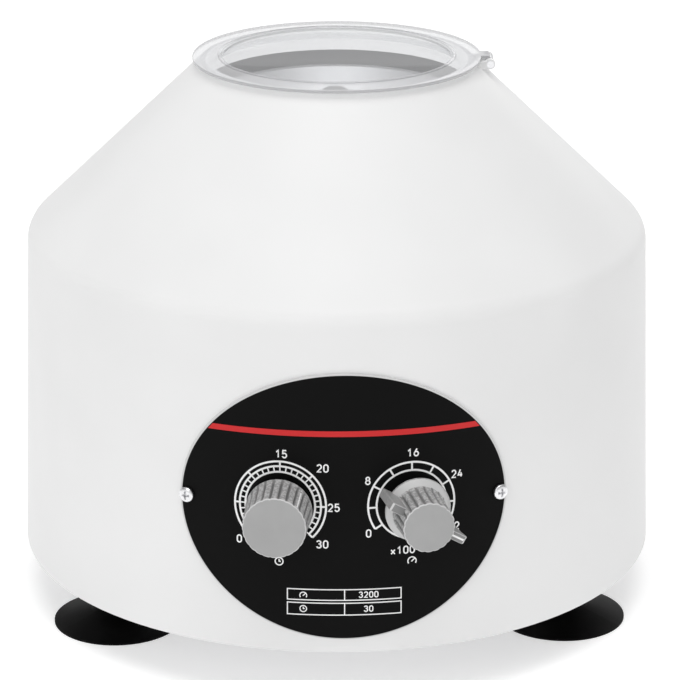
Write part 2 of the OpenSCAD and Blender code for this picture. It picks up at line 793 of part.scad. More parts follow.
module rotor_nut() {
    color("silver") translate([0, 0, hub_top + washer_t]) difference() {
        union() {
            cylinder(r = 7.5, h = nut_m, $fn = 6);
            cylinder(r = 8, h = 1.2);
        }
        translate([0, 0, -eps]) cylinder(r = shaft_r + fit, h = nut_m + 1);
    }
}

module hinge_pin() {
    color("silver") at_hinge() {
        translate([0, 0, -hinge_half - loose - ear_t])
            cylinder(r = hinge_pin_d / 2, h = 2 * (hinge_half + loose + ear_t));
        for (side = [0, 180]) rotate([side, 0, 0])
            translate([0, 0, hinge_half + loose + ear_t])
                cylinder(r = hinge_pin_d / 2 + 0.7, h = 0.8);
    }
}

// Clear moulding: flange, raised ring, sunk window and a ring that sits inside the mouth
module lid() {
    window_top = lid_z + lid_t - 1.4;
    window_r = lid_ring_r - lid_ring_w;
    color([0.9, 0.93, 0.95, 0.5]) {
        difference() {
            union() {
                rotate_extrude($fn = 180) polygon([
                    [0, window_top - lid_t], [spigot_r - 2, window_top - lid_t],
                    [spigot_r - 2, lid_z - spigot_h], [spigot_r, lid_z - spigot_h],
                    [spigot_r, lid_z], [lid_r - 0.4, lid_z], [lid_r, lid_z + 0.4],
                    [lid_r, lid_z + lid_t - 0.4], [lid_r - 0.4, lid_z + lid_t],
                    [lid_ring_r + 0.5, lid_z + lid_t], [lid_ring_r, lid_z + lid_t + lid_ring_h - 0.4],
                    [lid_ring_r - 0.4, lid_z + lid_t + lid_ring_h],
                    [window_r + 0.4, lid_z + lid_t + lid_ring_h],
                    [window_r, lid_z + lid_t + lid_ring_h - 0.4], [window_r - 0.3, window_top],
                    [0, window_top]]);
                translate([lid_r - 3, -hinge_half, lid_z]) cube([hinge_x - lid_r + 3, 2 * hinge_half, lid_t]);
                translate([hinge_x, hinge_half, hinge_z]) rotate([90, 0, 0])
                    cylinder(r = hinge_barrel_r, h = 2 * hinge_half);
            }
            translate([hinge_x, hinge_half + 1, hinge_z]) rotate([90, 0, 0])
                cylinder(r = hinge_pin_d / 2 + run, h = 2 * hinge_half + 2);
        }
    }
}

// Clockwork timer in its closed case, with a threaded bush round the shaft
module timer_case() {
    color([0.85, 0.83, 0.78]) at_timer() difference() {
        union() {
            translate([-timer_w / 2, -timer_l / 2, -boss_depth - timer_depth])
                cube([timer_w, timer_l, timer_depth - 1]);
            translate([-timer_w / 2 - 1, -timer_l / 2 - 1, -boss_depth - 1.5])
                cube([timer_w + 2, timer_l + 2, 1.5]);
            for (x = [-14, 11])
                translate([x, -timer_l / 2 - 5, -boss_depth - 12]) cube([3, 6, 4]);
            translate([0, 0, -boss_depth - 1]) cylinder(r = bush_d / 2, h = boss_depth + 1 + nut_z + nut_h + 0.4);
        }
        translate([0, 0, -boss_depth - 15]) cylinder(r = control_shaft_d / 2 + run, h = boss_depth * 3);
    }
}

module control_nut() {
    translate([0, 0, nut_z]) difference() {
        cylinder(r = 7, h = nut_h, $fn = 6);
        translate([0, 0, -eps]) cylinder(r = bush_d / 2 + fit, h = nut_h + 1);
    }
}

module timer_nut() {
    color("silver") at_timer() control_nut();
}

module speed_nut() {
    color("silver") at_speed() control_nut();
}

// Shaft with a flat for the knob, from inside a control to inside its knob
module control_shaft(depth, length) {
    translate([0, 0, -boss_depth - depth]) difference() {
        cylinder(r = control_shaft_d / 2, h = boss_depth + depth + knob_gap + length);
        translate([control_shaft_d / 2 - 1.4, -5, boss_depth + depth + knob_gap + 1])
            cube([5, 10, length]);
    }
}

module timer_shaft() {
    color("silver") at_timer() control_shaft(14.6, timer_knob_h - 5);
}

module speed_shaft() {
    color("silver") at_speed() control_shaft(7.6, speed_knob_h - 8);
}

// Socket that a knob presses onto its shaft with
module shaft_socket(h) {
    difference() {
        translate([0, 0, -eps]) cylinder(r = control_shaft_d / 2 + fit, h = h);
        translate([control_shaft_d / 2 - 1.4 + fit, -5, 1.2]) cube([5, 10, h]);
    }
}

// Hollow knob with a plain foot ring, broad flutes and a flat cap with a small bevel
module timer_knob() {
    top_r = timer_knob_r - 0.7;
    color([0.66, 0.66, 0.66]) at_timer() translate([0, 0, knob_gap]) difference() {
        rotate_extrude() polygon([
            [0, 0], [timer_knob_r, 0], [timer_knob_r, 0.9], [timer_knob_r - 0.1, 1.1],
            [top_r, timer_knob_h - 0.5], [top_r - 0.5, timer_knob_h], [0, timer_knob_h]]);
        for (i = [0:timer_flutes - 1]) rotate([0, 0, 360 / timer_flutes * (i + 0.5)])
            translate([timer_knob_r + 0.25, 0, 1.2]) rotate([0, -2.3, 0])
                cylinder(r = 0.9, h = timer_knob_h - 2.4, $fn = 24);
        translate([0, 0, -eps]) ring(timer_knob_r - 2.2, control_shaft_d / 2 + 2.4, timer_knob_h - 3);
        shaft_socket(timer_knob_h - 4.8);
    }
}

// Knob with a skirt, a fluted grip and a pointer bar across it
module speed_knob() {
    skirt_h = 2.4;
    bar_h = speed_knob_h - 5;
    tail_r = speed_skirt_r + 3.1;
    color([0.66, 0.66, 0.66]) at_speed() translate([0, 0, knob_gap]) difference() {
        union() {
            rotate_extrude() polygon([
                [0, 0], [speed_skirt_r, 0], [speed_skirt_r, skirt_h - 0.6],
                [speed_skirt_r - 0.5, skirt_h], [speed_grip_r, skirt_h + 1.4], [0, skirt_h + 1.4]]);
            difference() {
                rotate_extrude() polygon([
                    [0, 0], [speed_grip_r + 0.5, 0], [speed_grip_r, speed_knob_h - 0.5],
                    [speed_grip_r - 0.5, speed_knob_h], [0, speed_knob_h]]);
                for (i = [0:speed_flutes - 1]) rotate([0, 0, 360 / speed_flutes * (i + 0.5)])
                    translate([speed_grip_r + 0.7, 0, skirt_h + 1.6])
                        cylinder(r = 1.2, h = speed_knob_h - skirt_h - 2.6, $fn = 24);
            }
            rotate([0, 0, pointer_angle]) rotate([90, 0, 0])
                translate([0, 0, -pointer_w / 2]) linear_extrude(pointer_w) polygon([
                    [-tail_r, 0], [pointer_r - 5, 0], [pointer_r - 1.5, bar_h - 3], [pointer_r, bar_h - 0.6],
                    [pointer_r - 0.6, bar_h], [1.6 - tail_r, bar_h], [1 - tail_r, bar_h - 0.6]]);
        }
        translate([0, 0, -eps]) ring(speed_grip_r - 2.2, control_shaft_d / 2 + 2, speed_knob_h - 4);
        shaft_socket(speed_knob_h - 7.8);
    }
}

// Rotary speed control with a threaded bush and three tags
module speed_control() {
    color([0.2, 0.25, 0.3]) at_speed() difference() {
        union() {
            translate([0, 0, -boss_depth - 11]) cylinder(r = 12, h = 11);
            translate([0, 0, -boss_depth - 1]) cylinder(r = bush_d / 2, h = boss_depth + 1 + nut_z + nut_h + 0.4);
            for (x = [-5, 0, 5]) translate([x - 1.2, -17, -boss_depth - 8]) cube([2.4, 8, 0.8]);
        }
        translate([0, 0, -boss_depth - 8]) cylinder(r = control_shaft_d / 2 + run, h = boss_depth * 3);
    }
}

module at_board(x, y) {
    translate([board_x + x, y, board_z + board_t]) children();
}

module at_board_posts() {
    for (x = [-1, 1], y = [-1, 1])
        translate([board_x + x * (board_w / 2 - 4), y * (board_l / 2 - 4), base_top]) children();
}

module control_board() {
    color([0.1, 0.4, 0.2]) difference() {
        translate([board_x - board_w / 2, -board_l / 2, board_z]) cube([board_w, board_l, board_t]);
        at_board_posts() cylinder(r = 1.5 + fit, h = 20);
    }
}

module board_posts() {
    color("white") at_board_posts() {
        cylinder(r = 3, h = board_z - base_top);
        cylinder(r = 1.5, h = board_z - base_top + board_t + 2);
    }
}

// Finned bar that cools the motor's switch
module heat_sink() {
    color("silver") at_board(-2, 16) {
        translate([-sink_l / 2, -1.5, 0]) cube([sink_l, 3, sink_h]);
        for (i = [0:6]) translate([-sink_l / 2 + i * (sink_l - 1.5) / 6, 0, 0]) cube([1.5, 9, sink_h]);
    }
}

module terminal_block() {
    color([0.2, 0.5, 0.3]) at_board(-8, -26) difference() {
        cube([20, 8, 10]);
        for (i = [0:3]) translate([2.5 + 5 * i, 4, 6]) cylinder(r = 1.7, h = 5, $fn = 24);
        for (i = [0:3]) translate([0.8 + 5 * i, -1, 1.5]) cube([3.4, 5, 3.5]);
    }
}

module smoothing_capacitor() {
    color([0.15, 0.2, 0.4]) at_board(8, -8) {
        cylinder(r = 6.5, h = cap_l);
        translate([0, 0, cap_l]) cylinder(r = 5.8, h = 0.6);
    }
}

module at_fuse() {
    at_board(-16, -14) translate([0, 0, 4.2]) rotate([-90, 0, 0]) children();
}

// Glass tube fuse with its two end caps
module fuse() {
    color("silver") at_fuse() {
        translate([0, 0, 5]) cylinder(r = 2.4, h = 10);
        for (z = [0, 15]) translate([0, 0, z]) cylinder(r = 2.6, h = 5);
    }
}

// Spring clips that the fuse snaps into
module fuse_clips() {
    color("silver") difference() {
        at_board(-16, -14) for (y = [0.5, 15.5]) translate([-3.2, y, 0]) cube([6.4, 4, 6.6]);
        at_fuse() translate([0, 0, -1]) cylinder(r = 2.6 + fit, h = 22);
        at_board(-16, -14) translate([-2.1, -1, 5.4]) cube([4.2, 22, 3]);
    }
}

// Panel socket for a mains lead, with a flange outside and a cavity for the plug
module mains_inlet() {
    flange_y = pad_y + flange_t;
    color([0.08, 0.08, 0.08]) difference() {
        union() {
            translate([-flange_w / 2, pad_y, inlet_z - flange_h / 2]) cube([flange_w, flange_t, flange_h]);
            translate([-inlet_w / 2, pad_y - inlet_depth + flange_t, inlet_z - inlet_h / 2])
                cube([inlet_w, inlet_depth, inlet_h]);
        }
        translate([0, flange_y + eps, inlet_z]) rotate([90, 0, 0]) linear_extrude(16.5) polygon([
            [-12.1, -8], [12.1, -8], [12.1, 3.6], [8, 8], [-8, 8], [-12.1, 3.6]]);
        at_inlet_pins() translate([-1.05, -2.05, -1]) cube([2.1, 4.1, 40]);
        for (side = [-1, 1])
            translate([side * inlet_screw_x, pad_y + flange_t * 2, inlet_z]) rotate([90, 0, 0])
                cylinder(r = 1.5 + fit, h = flange_t * 3);
    }
}

// Frame of each contact blade: Z out of the socket, from behind the socket's floor
module at_inlet_pins() {
    for (p = [[-7, -1.5], [0, 2.5], [7, -1.5]])
        translate([p[0], pad_y - inlet_depth - 4, inlet_z + p[1]]) rotate([-90, 0, 0]) children();
}

module inlet_pins() {
    color("silver") at_inlet_pins() translate([-1, -2, 0]) cube([2, 4, inlet_depth + 4]);
}

module inlet_screws() {
    color("silver") for (side = [-1, 1])
        translate([side * inlet_screw_x, pad_y + flange_t, inlet_z]) rotate([90, 0, 0]) {
            cylinder(r = 1.5, h = flange_t + wall);
            translate([0, 0, -1.6]) cylinder(r = 2.8, h = 1.6);
        }
}

body_shell();
control_panel();
panel_screws();
base_plate();
base_screws();
suction_feet();
foot_studs();
foot_nuts();
chamber_bowl();
bowl_posts();
bowl_screws();
shaft_boot();
motor_pillars();
vibration_dampers();
damper_bolts();
motor_top_cap();
motor_can();
motor_bottom_cap();
field_core();
field_coils();
brush_holders();
brushes();
bearing_outer_rings();
bearing_balls();
bearing_inner_rings();
rotor_shaft();
armature_core();
armature_winding();
commutator();
cooling_fan();
rotor_head();
tube_sleeves();
tube_cushions();
rotor_washer();
rotor_nut();
hinge_pin();
lid();
timer_case();
timer_nut();
timer_shaft();
timer_knob();
speed_control();
speed_nut();
speed_shaft();
speed_knob();
control_board();
board_posts();
heat_sink();
terminal_block();
smoothing_capacitor();
fuse();
fuse_clips();
mains_inlet();
inlet_pins();
inlet_screws();
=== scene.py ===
import math
import bmesh
import bpy
import numpy as np
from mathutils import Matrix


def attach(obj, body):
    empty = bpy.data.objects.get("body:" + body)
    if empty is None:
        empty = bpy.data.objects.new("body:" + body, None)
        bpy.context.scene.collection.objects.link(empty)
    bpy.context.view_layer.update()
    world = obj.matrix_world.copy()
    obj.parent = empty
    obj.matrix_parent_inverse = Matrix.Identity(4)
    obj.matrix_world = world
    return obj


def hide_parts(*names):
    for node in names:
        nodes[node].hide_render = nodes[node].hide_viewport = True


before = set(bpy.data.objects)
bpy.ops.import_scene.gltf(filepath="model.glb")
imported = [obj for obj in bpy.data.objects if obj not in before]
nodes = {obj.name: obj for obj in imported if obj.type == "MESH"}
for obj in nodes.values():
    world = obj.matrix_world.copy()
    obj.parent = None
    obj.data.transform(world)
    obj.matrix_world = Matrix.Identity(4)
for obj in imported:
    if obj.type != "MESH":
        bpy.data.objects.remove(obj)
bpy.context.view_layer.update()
print("frame loaded:", len(nodes), "nodes")

mm = 0.001

# camera: the photo looks down on the front at about 19 degrees, from a little to the left;
# reach is its level distance from the body's axis, in metres
view = {"reach": 1.1331, "azimuth": -1.3, "elevation": 19.43, "aimZ": 0.1011,
        "lens": 153.85, "sensor": 36, "shiftX": 0.0047, "clipEnd": 20}


def addCamera(v):
    data = bpy.data.cameras.new("photoCamera")
    data.lens = v["lens"]
    data.sensor_width = v["sensor"]
    data.shift_x = v["shiftX"]
    data.clip_end = v["clipEnd"]
    cam = bpy.data.objects.new("photoCamera", data)
    bpy.context.scene.collection.objects.link(cam)
    a, e = math.radians(v["azimuth"]), math.radians(v["elevation"])
    reach = v["reach"]
    cam.location = (reach * math.sin(a), -reach * math.cos(a), v["aimZ"] + reach * math.tan(e))
    cam.rotation_euler = (math.pi / 2 - e, 0, a)
    bpy.context.scene.camera = cam
    bpy.context.scene.view_settings.view_transform = "Standard"


addCamera(view)

# sizes of the body and its panel in millimetres, as the CAD has them
body = {"bottomRadius": 130, "edgeZ": 21, "wallLean": 2.03}
panel = {"z": 79.651, "thickness": 1.2, "halfWidth": 61.7, "halfHeight": 52.85}


# radius of the wall: the lower radius less the height above the edge times the tangent of the lean
def wallRadius(z):
    return body["bottomRadius"] - (z - body["edgeZ"]) * math.tan(math.radians(body["wallLean"]))


faceRadius = wallRadius(panel["z"]) + panel["thickness"]


# shader maths: one socket that can be added, multiplied and so on like a number
class Wire:
    def __init__(self, tree, socket=None):
        self.tree = tree
        self.socket = socket

    # any node: its type, its settings, then numbers or wires for its inputs
    def node(self, kind, settings=None, values=None, output=0):
        made = self.tree.nodes.new(kind)
        for name, value in (settings or {}).items():
            setattr(made, name, value)
        for key, value in (values or {}).items():
            if isinstance(value, Wire):
                self.tree.links.new(value.socket, made.inputs[key])
            else:
                made.inputs[key].default_value = value
        return Wire(self.tree, made.outputs[output])

    def maths(self, operation, *terms):
        return self.node("ShaderNodeMath", {"operation": operation}, dict(enumerate(terms)))

    def __add__(self, other):
        return self.maths("ADD", self, other)

    def __radd__(self, other):
        return self.maths("ADD", other, self)

    def __sub__(self, other):
        return self.maths("SUBTRACT", self, other)

    def __rsub__(self, other):
        return self.maths("SUBTRACT", other, self)

    def __mul__(self, other):
        return self.maths("MULTIPLY", self, other)

    def __rmul__(self, other):
        return self.maths("MULTIPLY", other, self)

    def __truediv__(self, other):
        return self.maths("DIVIDE", self, other)

    def __pow__(self, other):
        return self.maths("POWER", self, other)

    # 0 below the low value, 1 above the high one, and a smooth rise between them
    def step(self, low, high):
        return self.node("ShaderNodeMapRange", {"interpolation_type": "SMOOTHSTEP"},
                         {"Value": self, "From Min": low, "From Max": high})

    # the first colour where the wire is 0, the second where it is 1
    def blend(self, dark, light):
        return self.node("ShaderNodeMix", {"data_type": "RGBA"},
                         {0: self, 6: dark, 7: light}, output=2)


# the place in the object, in metres
def objectSpace(w):
    return w.node("ShaderNodeTexCoord", output=3)


def objectNormal(w):
    return w.node("ShaderNodeTexCoord", output=1)


# the parts of a vector as wires
def split(w, vector):
    parts = w.node("ShaderNodeSeparateXYZ", None, {0: vector})
    return [Wire(w.tree, parts.socket.node.outputs[i]) for i in range(3)]


# soft random values from 0 to 1, from the place in the object unless another place is given
def noise(w, scale, detail=3, place=None):
    return w.node("ShaderNodeTexNoise", None,
                  {"Vector": place or objectSpace(w), "Scale": scale, "Detail": detail})


def bump(w, height, strength, distance):
    return w.node("ShaderNodeBump", None,
                  {"Height": height, "Strength": strength, "Distance": distance})


# a grey whose blue is raised by the tint
def grey(v, tint=0.0):
    return (v, v, v * (1 + tint), 1)


# a finish: fixed numbers go straight on the shader, wires go to what varies
def makeFinish(name, fixed, varied=None):
    material = bpy.data.materials.new(name)
    material.use_nodes = True
    tree = material.node_tree
    shader = tree.nodes["Principled BSDF"]
    for key, value in fixed.items():
        shader.inputs[key].default_value = value
    if varied:
        for key, wire in varied(Wire(tree)).items():
            tree.links.new(wire.socket, shader.inputs[key])
    return material


# satin white moulding: faint mottling, the fine grain of the mould, and painted light: the collar wall
# inside the mouth glows, though it is no lamp
def whiteShellFinish():
    mouthPaintedLight = {"radius": 52.3 * mm, "fade": 0.2 * mm, "low": 209 * mm, "high": 212 * mm, "glow": 0.42}
    tones = {"low": 0.772, "high": 0.80}

    def varied(w):
        x, y, z = split(w, objectSpace(w))
        inside = 1 - ((x * x + y * y) ** 0.5).step(mouthPaintedLight["radius"], mouthPaintedLight["radius"] + mouthPaintedLight["fade"])
        # painted light: an emission on the collar wall inside the mouth, standing in for light reaching the
        # interior
        glow = inside * z.step(mouthPaintedLight["low"], mouthPaintedLight["high"])
        soft = noise(w, 14, 2)
        grain = noise(w, 900, 2)
        wave = noise(w, 60, 2)
        return {"Base Color": soft.step(0.3, 0.7).blend(grey(tones["low"]), grey(tones["high"])),
                "Roughness": 0.36 + 0.08 * soft + 0.04 * grain,
                "Emission Color": glow.blend(grey(0.0), grey(mouthPaintedLight["glow"])),
                "Normal": bump(w, 0.25 * grain + wave, 0.08, 0.0004)}
    fixed = {"IOR": 1.46, "Specular IOR Level": 0.2, "Emission Strength": 1.0}
    return makeFinish("whiteShell", fixed, varied)


# satin black sheet, paler in a thin band along its oval edge, where the squares of both shares of the oval
# add up to nearly 1
def blackPanelFinish():
    rim = {"from": 0.978, "to": 0.985, "tone": 0.62}
    sheetTone = 0.0045

    def varied(w):
        across, out, up = split(w, objectSpace(w))
        x = across / (panel["halfWidth"] * mm)
        z = (up - panel["z"] * mm) / (panel["halfHeight"] * mm)
        edge = (x * x + z * z).step(rim["from"], rim["to"])
        fine = noise(w, 1400, 2)
        cloud = noise(w, 25, 3)
        return {"Base Color": edge.blend(grey(sheetTone), grey(rim["tone"])),
                "Roughness": 0.34 + 0.10 * cloud + 0.05 * fine,
                "Normal": bump(w, fine, 0.06, 0.0002)}
    return makeFinish("blackPanel", {"IOR": 1.45, "Specular IOR Level": 0.06}, varied)


# printed ink with a fine grain, up to 6 percent lighter
def inkFinish(name, colour):
    light = [min(1, c * 1.06) for c in colour[:3]] + [1]

    def varied(w):
        fine = noise(w, 1600, 2)
        return {"Base Color": fine.step(0.2, 0.8).blend(colour, light),
                "Roughness": 0.38 + 0.1 * fine}
    return makeFinish(name, {"IOR": 1.45}, varied)


# grey knob plastic: a smooth cap and a mottled grip, told apart by the way the surface faces, a painted
# highlight on rounded edges, and painted shade in the grooves of a knob, which lie where the cosine of the
# turn times the ribs is lowest
def greyKnobFinish(name, tones, knob=None):
    def grooveShadeMask(w):
        lean = math.radians(knob["lean"])
        x, y, z = split(w, objectSpace(w))
        middleY = -math.sqrt(faceRadius ** 2 - knob["x"] ** 2) * mm
        aside = (x - knob["x"] * mm) * math.cos(lean) + (y - middleY) * math.sin(lean)
        up = z - knob["z"] * mm
        turn = up.maths("ARCTAN2", up, aside)
        radius = (aside * aside + up * up) ** 0.5
        near = 1 - radius.step(knob["ribReach"] * mm, (knob["ribReach"] + 0.2) * mm)
        return near * (1 - turn.maths("COSINE", turn * knob["ribs"]).step(-1.0, -0.1))

    def varied(w):
        cloud = noise(w, 90, 3)
        fine = noise(w, 1500, 2)
        mottle = noise(w, 950, 2).step(0.38, 0.62)
        out = split(w, objectNormal(w))[1]
        facing = out.maths("ABSOLUTE", out)
        cap = facing.step(0.5, 0.7)
        # painted highlight: a lighter tone where the surface faces half out, on rounded edges and the
        # sloped skirt
        edge = facing.step(0.45, 0.6) * (1 - facing.step(0.86, 0.95))
        grip = mottle.blend(grey(tones["low"]), grey(tones["high"]))
        if knob:
            # painted shade: the grooves get a darker tone
            grip = grooveShadeMask(w).blend(grip, grey(tones["grooveShade"]))
        face = cloud.step(0.25, 0.75).blend(grey(tones["cap"] - 0.025), grey(tones["cap"]))
        return {"Base Color": edge.blend(cap.blend(grip, face), grey(tones["edge"])),
                "Roughness": 0.36 + 0.14 * cloud,
                "Normal": bump(w, fine + tones["mottling"] * mottle * (1 - cap), 0.16, 0.0002)}
    return makeFinish(name, {"IOR": 1.47}, varied)


# matt black rubber
def rubberFinish():
    tones = {"low": 0.003, "high": 0.007}

    def varied(w):
        cloud = noise(w, 70, 4)
        fine = noise(w, 1200, 3)
        return {"Base Color": cloud.step(0.3, 0.8).blend(grey(tones["low"]), grey(tones["high"])),
                "Roughness": 0.36 + 0.2 * cloud,
                "Normal": bump(w, fine + cloud, 0.12, 0.0003)}
    return makeFinish("blackRubber", {"IOR": 1.5, "Specular IOR Level": 0.05}, varied)


# clear moulding: it passes most light; the white share over it is partly real gloss and partly painted
# reflection of the bright room, larger on its flange, and its upright faces get a darker grey as painted
# dark reflection lines
def clearLidFinish():
    sizes = {"windowRadius": 45.6 * mm, "ringRadius": 48.2 * mm, "flangeZ": 220.85 * mm}
    glossAndPaintedReflection = {"everywhere": 0.1, "glance": 0.125, "flange": 0.26, "upright": 0.28}  # shares of the gloss
    tones = {"face": grey(0.86, 0.02), "upright": grey(0.40, 0.02), "through": (0.985, 0.988, 0.99, 1)}
    material = bpy.data.materials.new("clearLid")
    material.use_nodes = True
    tree = material.node_tree
    w = Wire(tree)
    gloss = tree.nodes["Principled BSDF"]
    gloss.inputs["IOR"].default_value = 1.49
    cloud = noise(w, 45, 2)
    tree.links.new((0.03 + 0.05 * cloud).socket, gloss.inputs["Roughness"])
    x, y, z = split(w, objectSpace(w))
    radius = (x * x + y * y) ** 0.5
    tilt = split(w, objectNormal(w))[2]
    above = z.step(sizes["flangeZ"] - 0.3 * mm, sizes["flangeZ"] - 0.1 * mm)
    # painted dark reflection lines: upright faces above the flange's underside get a darker grey and more
    # of the gloss
    upright = (1 - tilt.maths("ABSOLUTE", tilt).step(0.5, 0.98)) * above
    flange = radius.step(sizes["windowRadius"], sizes["ringRadius"]) * above
    tree.links.new(upright.blend(tones["face"], tones["upright"]).socket, gloss.inputs["Base Color"])
    glance = w.node("ShaderNodeLayerWeight", None, {"Blend": 0.5}, output=1)
    see = w.node("ShaderNodeBsdfTransparent", None, {"Color": tones["through"]})
    # the white share is partly real gloss and partly painted reflection of the bright room
    share = (glossAndPaintedReflection["everywhere"] + glossAndPaintedReflection["glance"] * glance + glossAndPaintedReflection["flange"] * flange
             + glossAndPaintedReflection["upright"] * upright)
    mixed = w.node("ShaderNodeMixShader", None, {0: share, 1: see, 2: Wire(tree, gloss.outputs[0])})
    tree.links.new(mixed.socket, tree.nodes["Material Output"].inputs[0])
    return material


# turned, spun or rolled metal: fine lines round the axis that the piece was worked on
def metalFinish(name, tone, rough, lines, tint=0.02):
    def varied(w):
        x, y, z = split(w, objectSpace(w))
        radius = (x * x + y * y) ** 0.5
        ringPlace = w.node("ShaderNodeCombineXYZ", None, {0: radius * lines, 1: z * lines, 2: 0.0})
        rings = noise(w, 6, 4, ringPlace)
        cloud = noise(w, 40, 4)
        return {"Base Color": cloud.step(0.3, 0.7).blend(grey(tone * 0.93, tint), grey(tone, tint)),
                "Roughness": rough + 0.12 * rings + 0.06 * cloud,
                "Normal": bump(w, rings, 0.12, 0.0002)}
    return makeFinish(name, {"Metallic": 1.0}, varied)


# plain moulded plastic, up to 12 percent lighter in soft clouds
def plasticFinish(name, colour, rough=0.45):
    light = [min(1, c * 1.12) for c in colour] + [1]

    def varied(w):
        cloud = noise(w, 60, 3)
        fine = noise(w, 1300, 2)
        return {"Base Color": cloud.step(0.3, 0.7).blend(list(colour) + [1], light),
                "Roughness": rough + 0.12 * cloud,
                "Normal": bump(w, fine, 0.1, 0.0002)}
    return makeFinish(name, {"IOR": 1.46}, varied)


# the edge tone is a painted highlight on the pointer's rounded edges
pointerTones = {"low": 0.27, "high": 0.31, "cap": 0.24, "edge": 0.58, "mottling": 0.5}

finishes = {
    "whiteShell": whiteShellFinish(),
    "blackPanel": blackPanelFinish(),
    "whiteInk": inkFinish("whiteInk", (0.86, 0.86, 0.86, 1)),
    "redInk": inkFinish("redInk", (0.56, 0.004, 0.006, 1)),
    "greyPlastic": greyKnobFinish("greyPlastic", pointerTones),
    "blackRubber": rubberFinish(),
    "clearLid": clearLidFinish(),
    "platedSteel": metalFinish("platedSteel", 0.80, 0.18, 500),
    "zincSheet": metalFinish("zincSheet", 0.55, 0.38, 200),
    "spunSteel": metalFinish("spunSteel", 0.84, 0.30, 700),
    "castAluminium": metalFinish("castAluminium", 0.62, 0.46, 500),
    "motorIron": metalFinish("motorIron", 0.2, 0.5, 900),
    "copperWire": metalFinish("copperWire", 0.5, 0.4, 1500, tint=-0.6),
    "brownPlastic": plasticFinish("brownPlastic", (0.03, 0.02, 0.015)),
    "creamPlastic": plasticFinish("creamPlastic", (0.5, 0.47, 0.38)),
    "greenBoard": plasticFinish("greenBoard", (0.02, 0.16, 0.06), 0.3),
    "nylon": plasticFinish("nylon", (0.7, 0.7, 0.66)),
    "blueSleeve": plasticFinish("blueSleeve", (0.02, 0.03, 0.14), 0.25),
    "blackPlastic": plasticFinish("blackPlastic", (0.012, 0.012, 0.012)),
}
print("finishes made:", len(finishes))

# which CAD nodes take which finish
nodeFinish = {
    "whiteShell": ["body_shell"],
    "blackPanel": ["control_panel"],
    "platedSteel": ["panel_screws", "base_screws", "foot_studs", "foot_nuts", "bowl_screws", "damper_bolts",
                    "hinge_pin", "timer_nut", "speed_nut", "inlet_pins", "fuse", "fuse_clips",
                    "bearing_outer_rings", "bearing_balls", "bearing_inner_rings", "rotor_shaft",
                    "timer_shaft", "speed_shaft"],
    "zincSheet": ["base_plate", "bowl_posts", "motor_pillars", "motor_can", "rotor_washer", "rotor_nut",
                  "inlet_screws"],
    "spunSteel": ["chamber_bowl"],
    "blackRubber": ["suction_feet", "shaft_boot", "vibration_dampers", "tube_cushions"],
    "castAluminium": ["motor_top_cap", "motor_bottom_cap", "rotor_head", "tube_sleeves", "heat_sink"],
    "motorIron": ["field_core", "armature_core"],
    "copperWire": ["field_coils", "armature_winding", "commutator"],
    "brownPlastic": ["brush_holders", "brushes", "cooling_fan"],
    "clearLid": ["lid"],
    "greyPlastic": ["timer_knob", "speed_knob"],
    "creamPlastic": ["timer_case", "speed_control"],
    "greenBoard": ["control_board", "terminal_block"],
    "nylon": ["board_posts"],
    "blueSleeve": ["smoothing_capacitor"],
    "blackPlastic": ["mains_inlet"],
}
for finish, names in nodeFinish.items():
    for name in names:
        mesh = nodes[name].data
        mesh.materials.clear()
        mesh.materials.append(finishes[finish])
print("CAD nodes finished")


# point on the panel: s is the arc length round the body, z the height and lift the way off the face;
# the turn is the arc over the face's radius, and the point lies at the wall's radius plus panel and lift
def onPanel(s, z, lift):
    radius = wallRadius(z) + panel["thickness"] + lift
    turn = s / faceRadius
    return np.stack([radius * np.sin(turn), -radius * np.cos(turn), z + 0 * turn], -1)


# point in a control's frame: the shaft's foot on the panel's face, plus x times the way across, y times
# the way up and z times the way out along the shaft
def atControl(local, place):
    lean = math.radians(place["lean"])
    origin = np.array([place["x"], -math.sqrt(faceRadius ** 2 - place["x"] ** 2), place["z"]])
    across = np.array([math.cos(lean), math.sin(lean), 0])
    out = np.array([math.sin(lean), -math.cos(lean), 0])
    return (origin + local[..., :1] * across + local[..., 1:2] * np.array([0, 0, 1])
            + local[..., 2:3] * out)


# quads of a grid with rows and columns; a wrapped way joins its last line to its first
def gridFaces(rows, columns, wrapRows=False, wrapColumns=True):
    index = np.arange(rows * columns).reshape(rows, columns)
    if wrapRows:
        index = np.concatenate([index, index[:1]])
    if wrapColumns:
        index = np.concatenate([index, index[:, :1]], 1)
    return np.stack([index[:-1, :-1], index[:-1, 1:], index[1:, 1:], index[1:, :-1]], -1).reshape(-1, 4)


# one mesh from several closed shells, in millimetres: doubles merged, every face turned outwards
def addPiece(name, shells, finish, rides="housing", stands=(), sharp=35):
    offsets = np.cumsum([0] + [len(points) for points, faces in shells])
    points = np.concatenate([points for points, faces in shells]) * mm
    faces = np.concatenate([faces + start for (where, faces), start in zip(shells, offsets)])
    mesh = bpy.data.meshes.new(name)
    mesh.from_pydata(points.tolist(), [], faces.tolist())
    shape = bmesh.new()
    shape.from_mesh(mesh)
    bmesh.ops.remove_doubles(shape, verts=shape.verts, dist=1e-6)
    bmesh.ops.recalc_face_normals(shape, faces=shape.faces)
    shape.to_mesh(mesh)
    shape.free()
    mesh.shade_smooth()
    mesh.set_sharp_from_angle(angle=math.radians(sharp))
    mesh.materials.append(finishes[finish])
    piece = bpy.data.objects.new(name, mesh)
    bpy.context.scene.collection.objects.link(piece)
    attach(piece, rides)
    if stands:
        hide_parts(*stands)


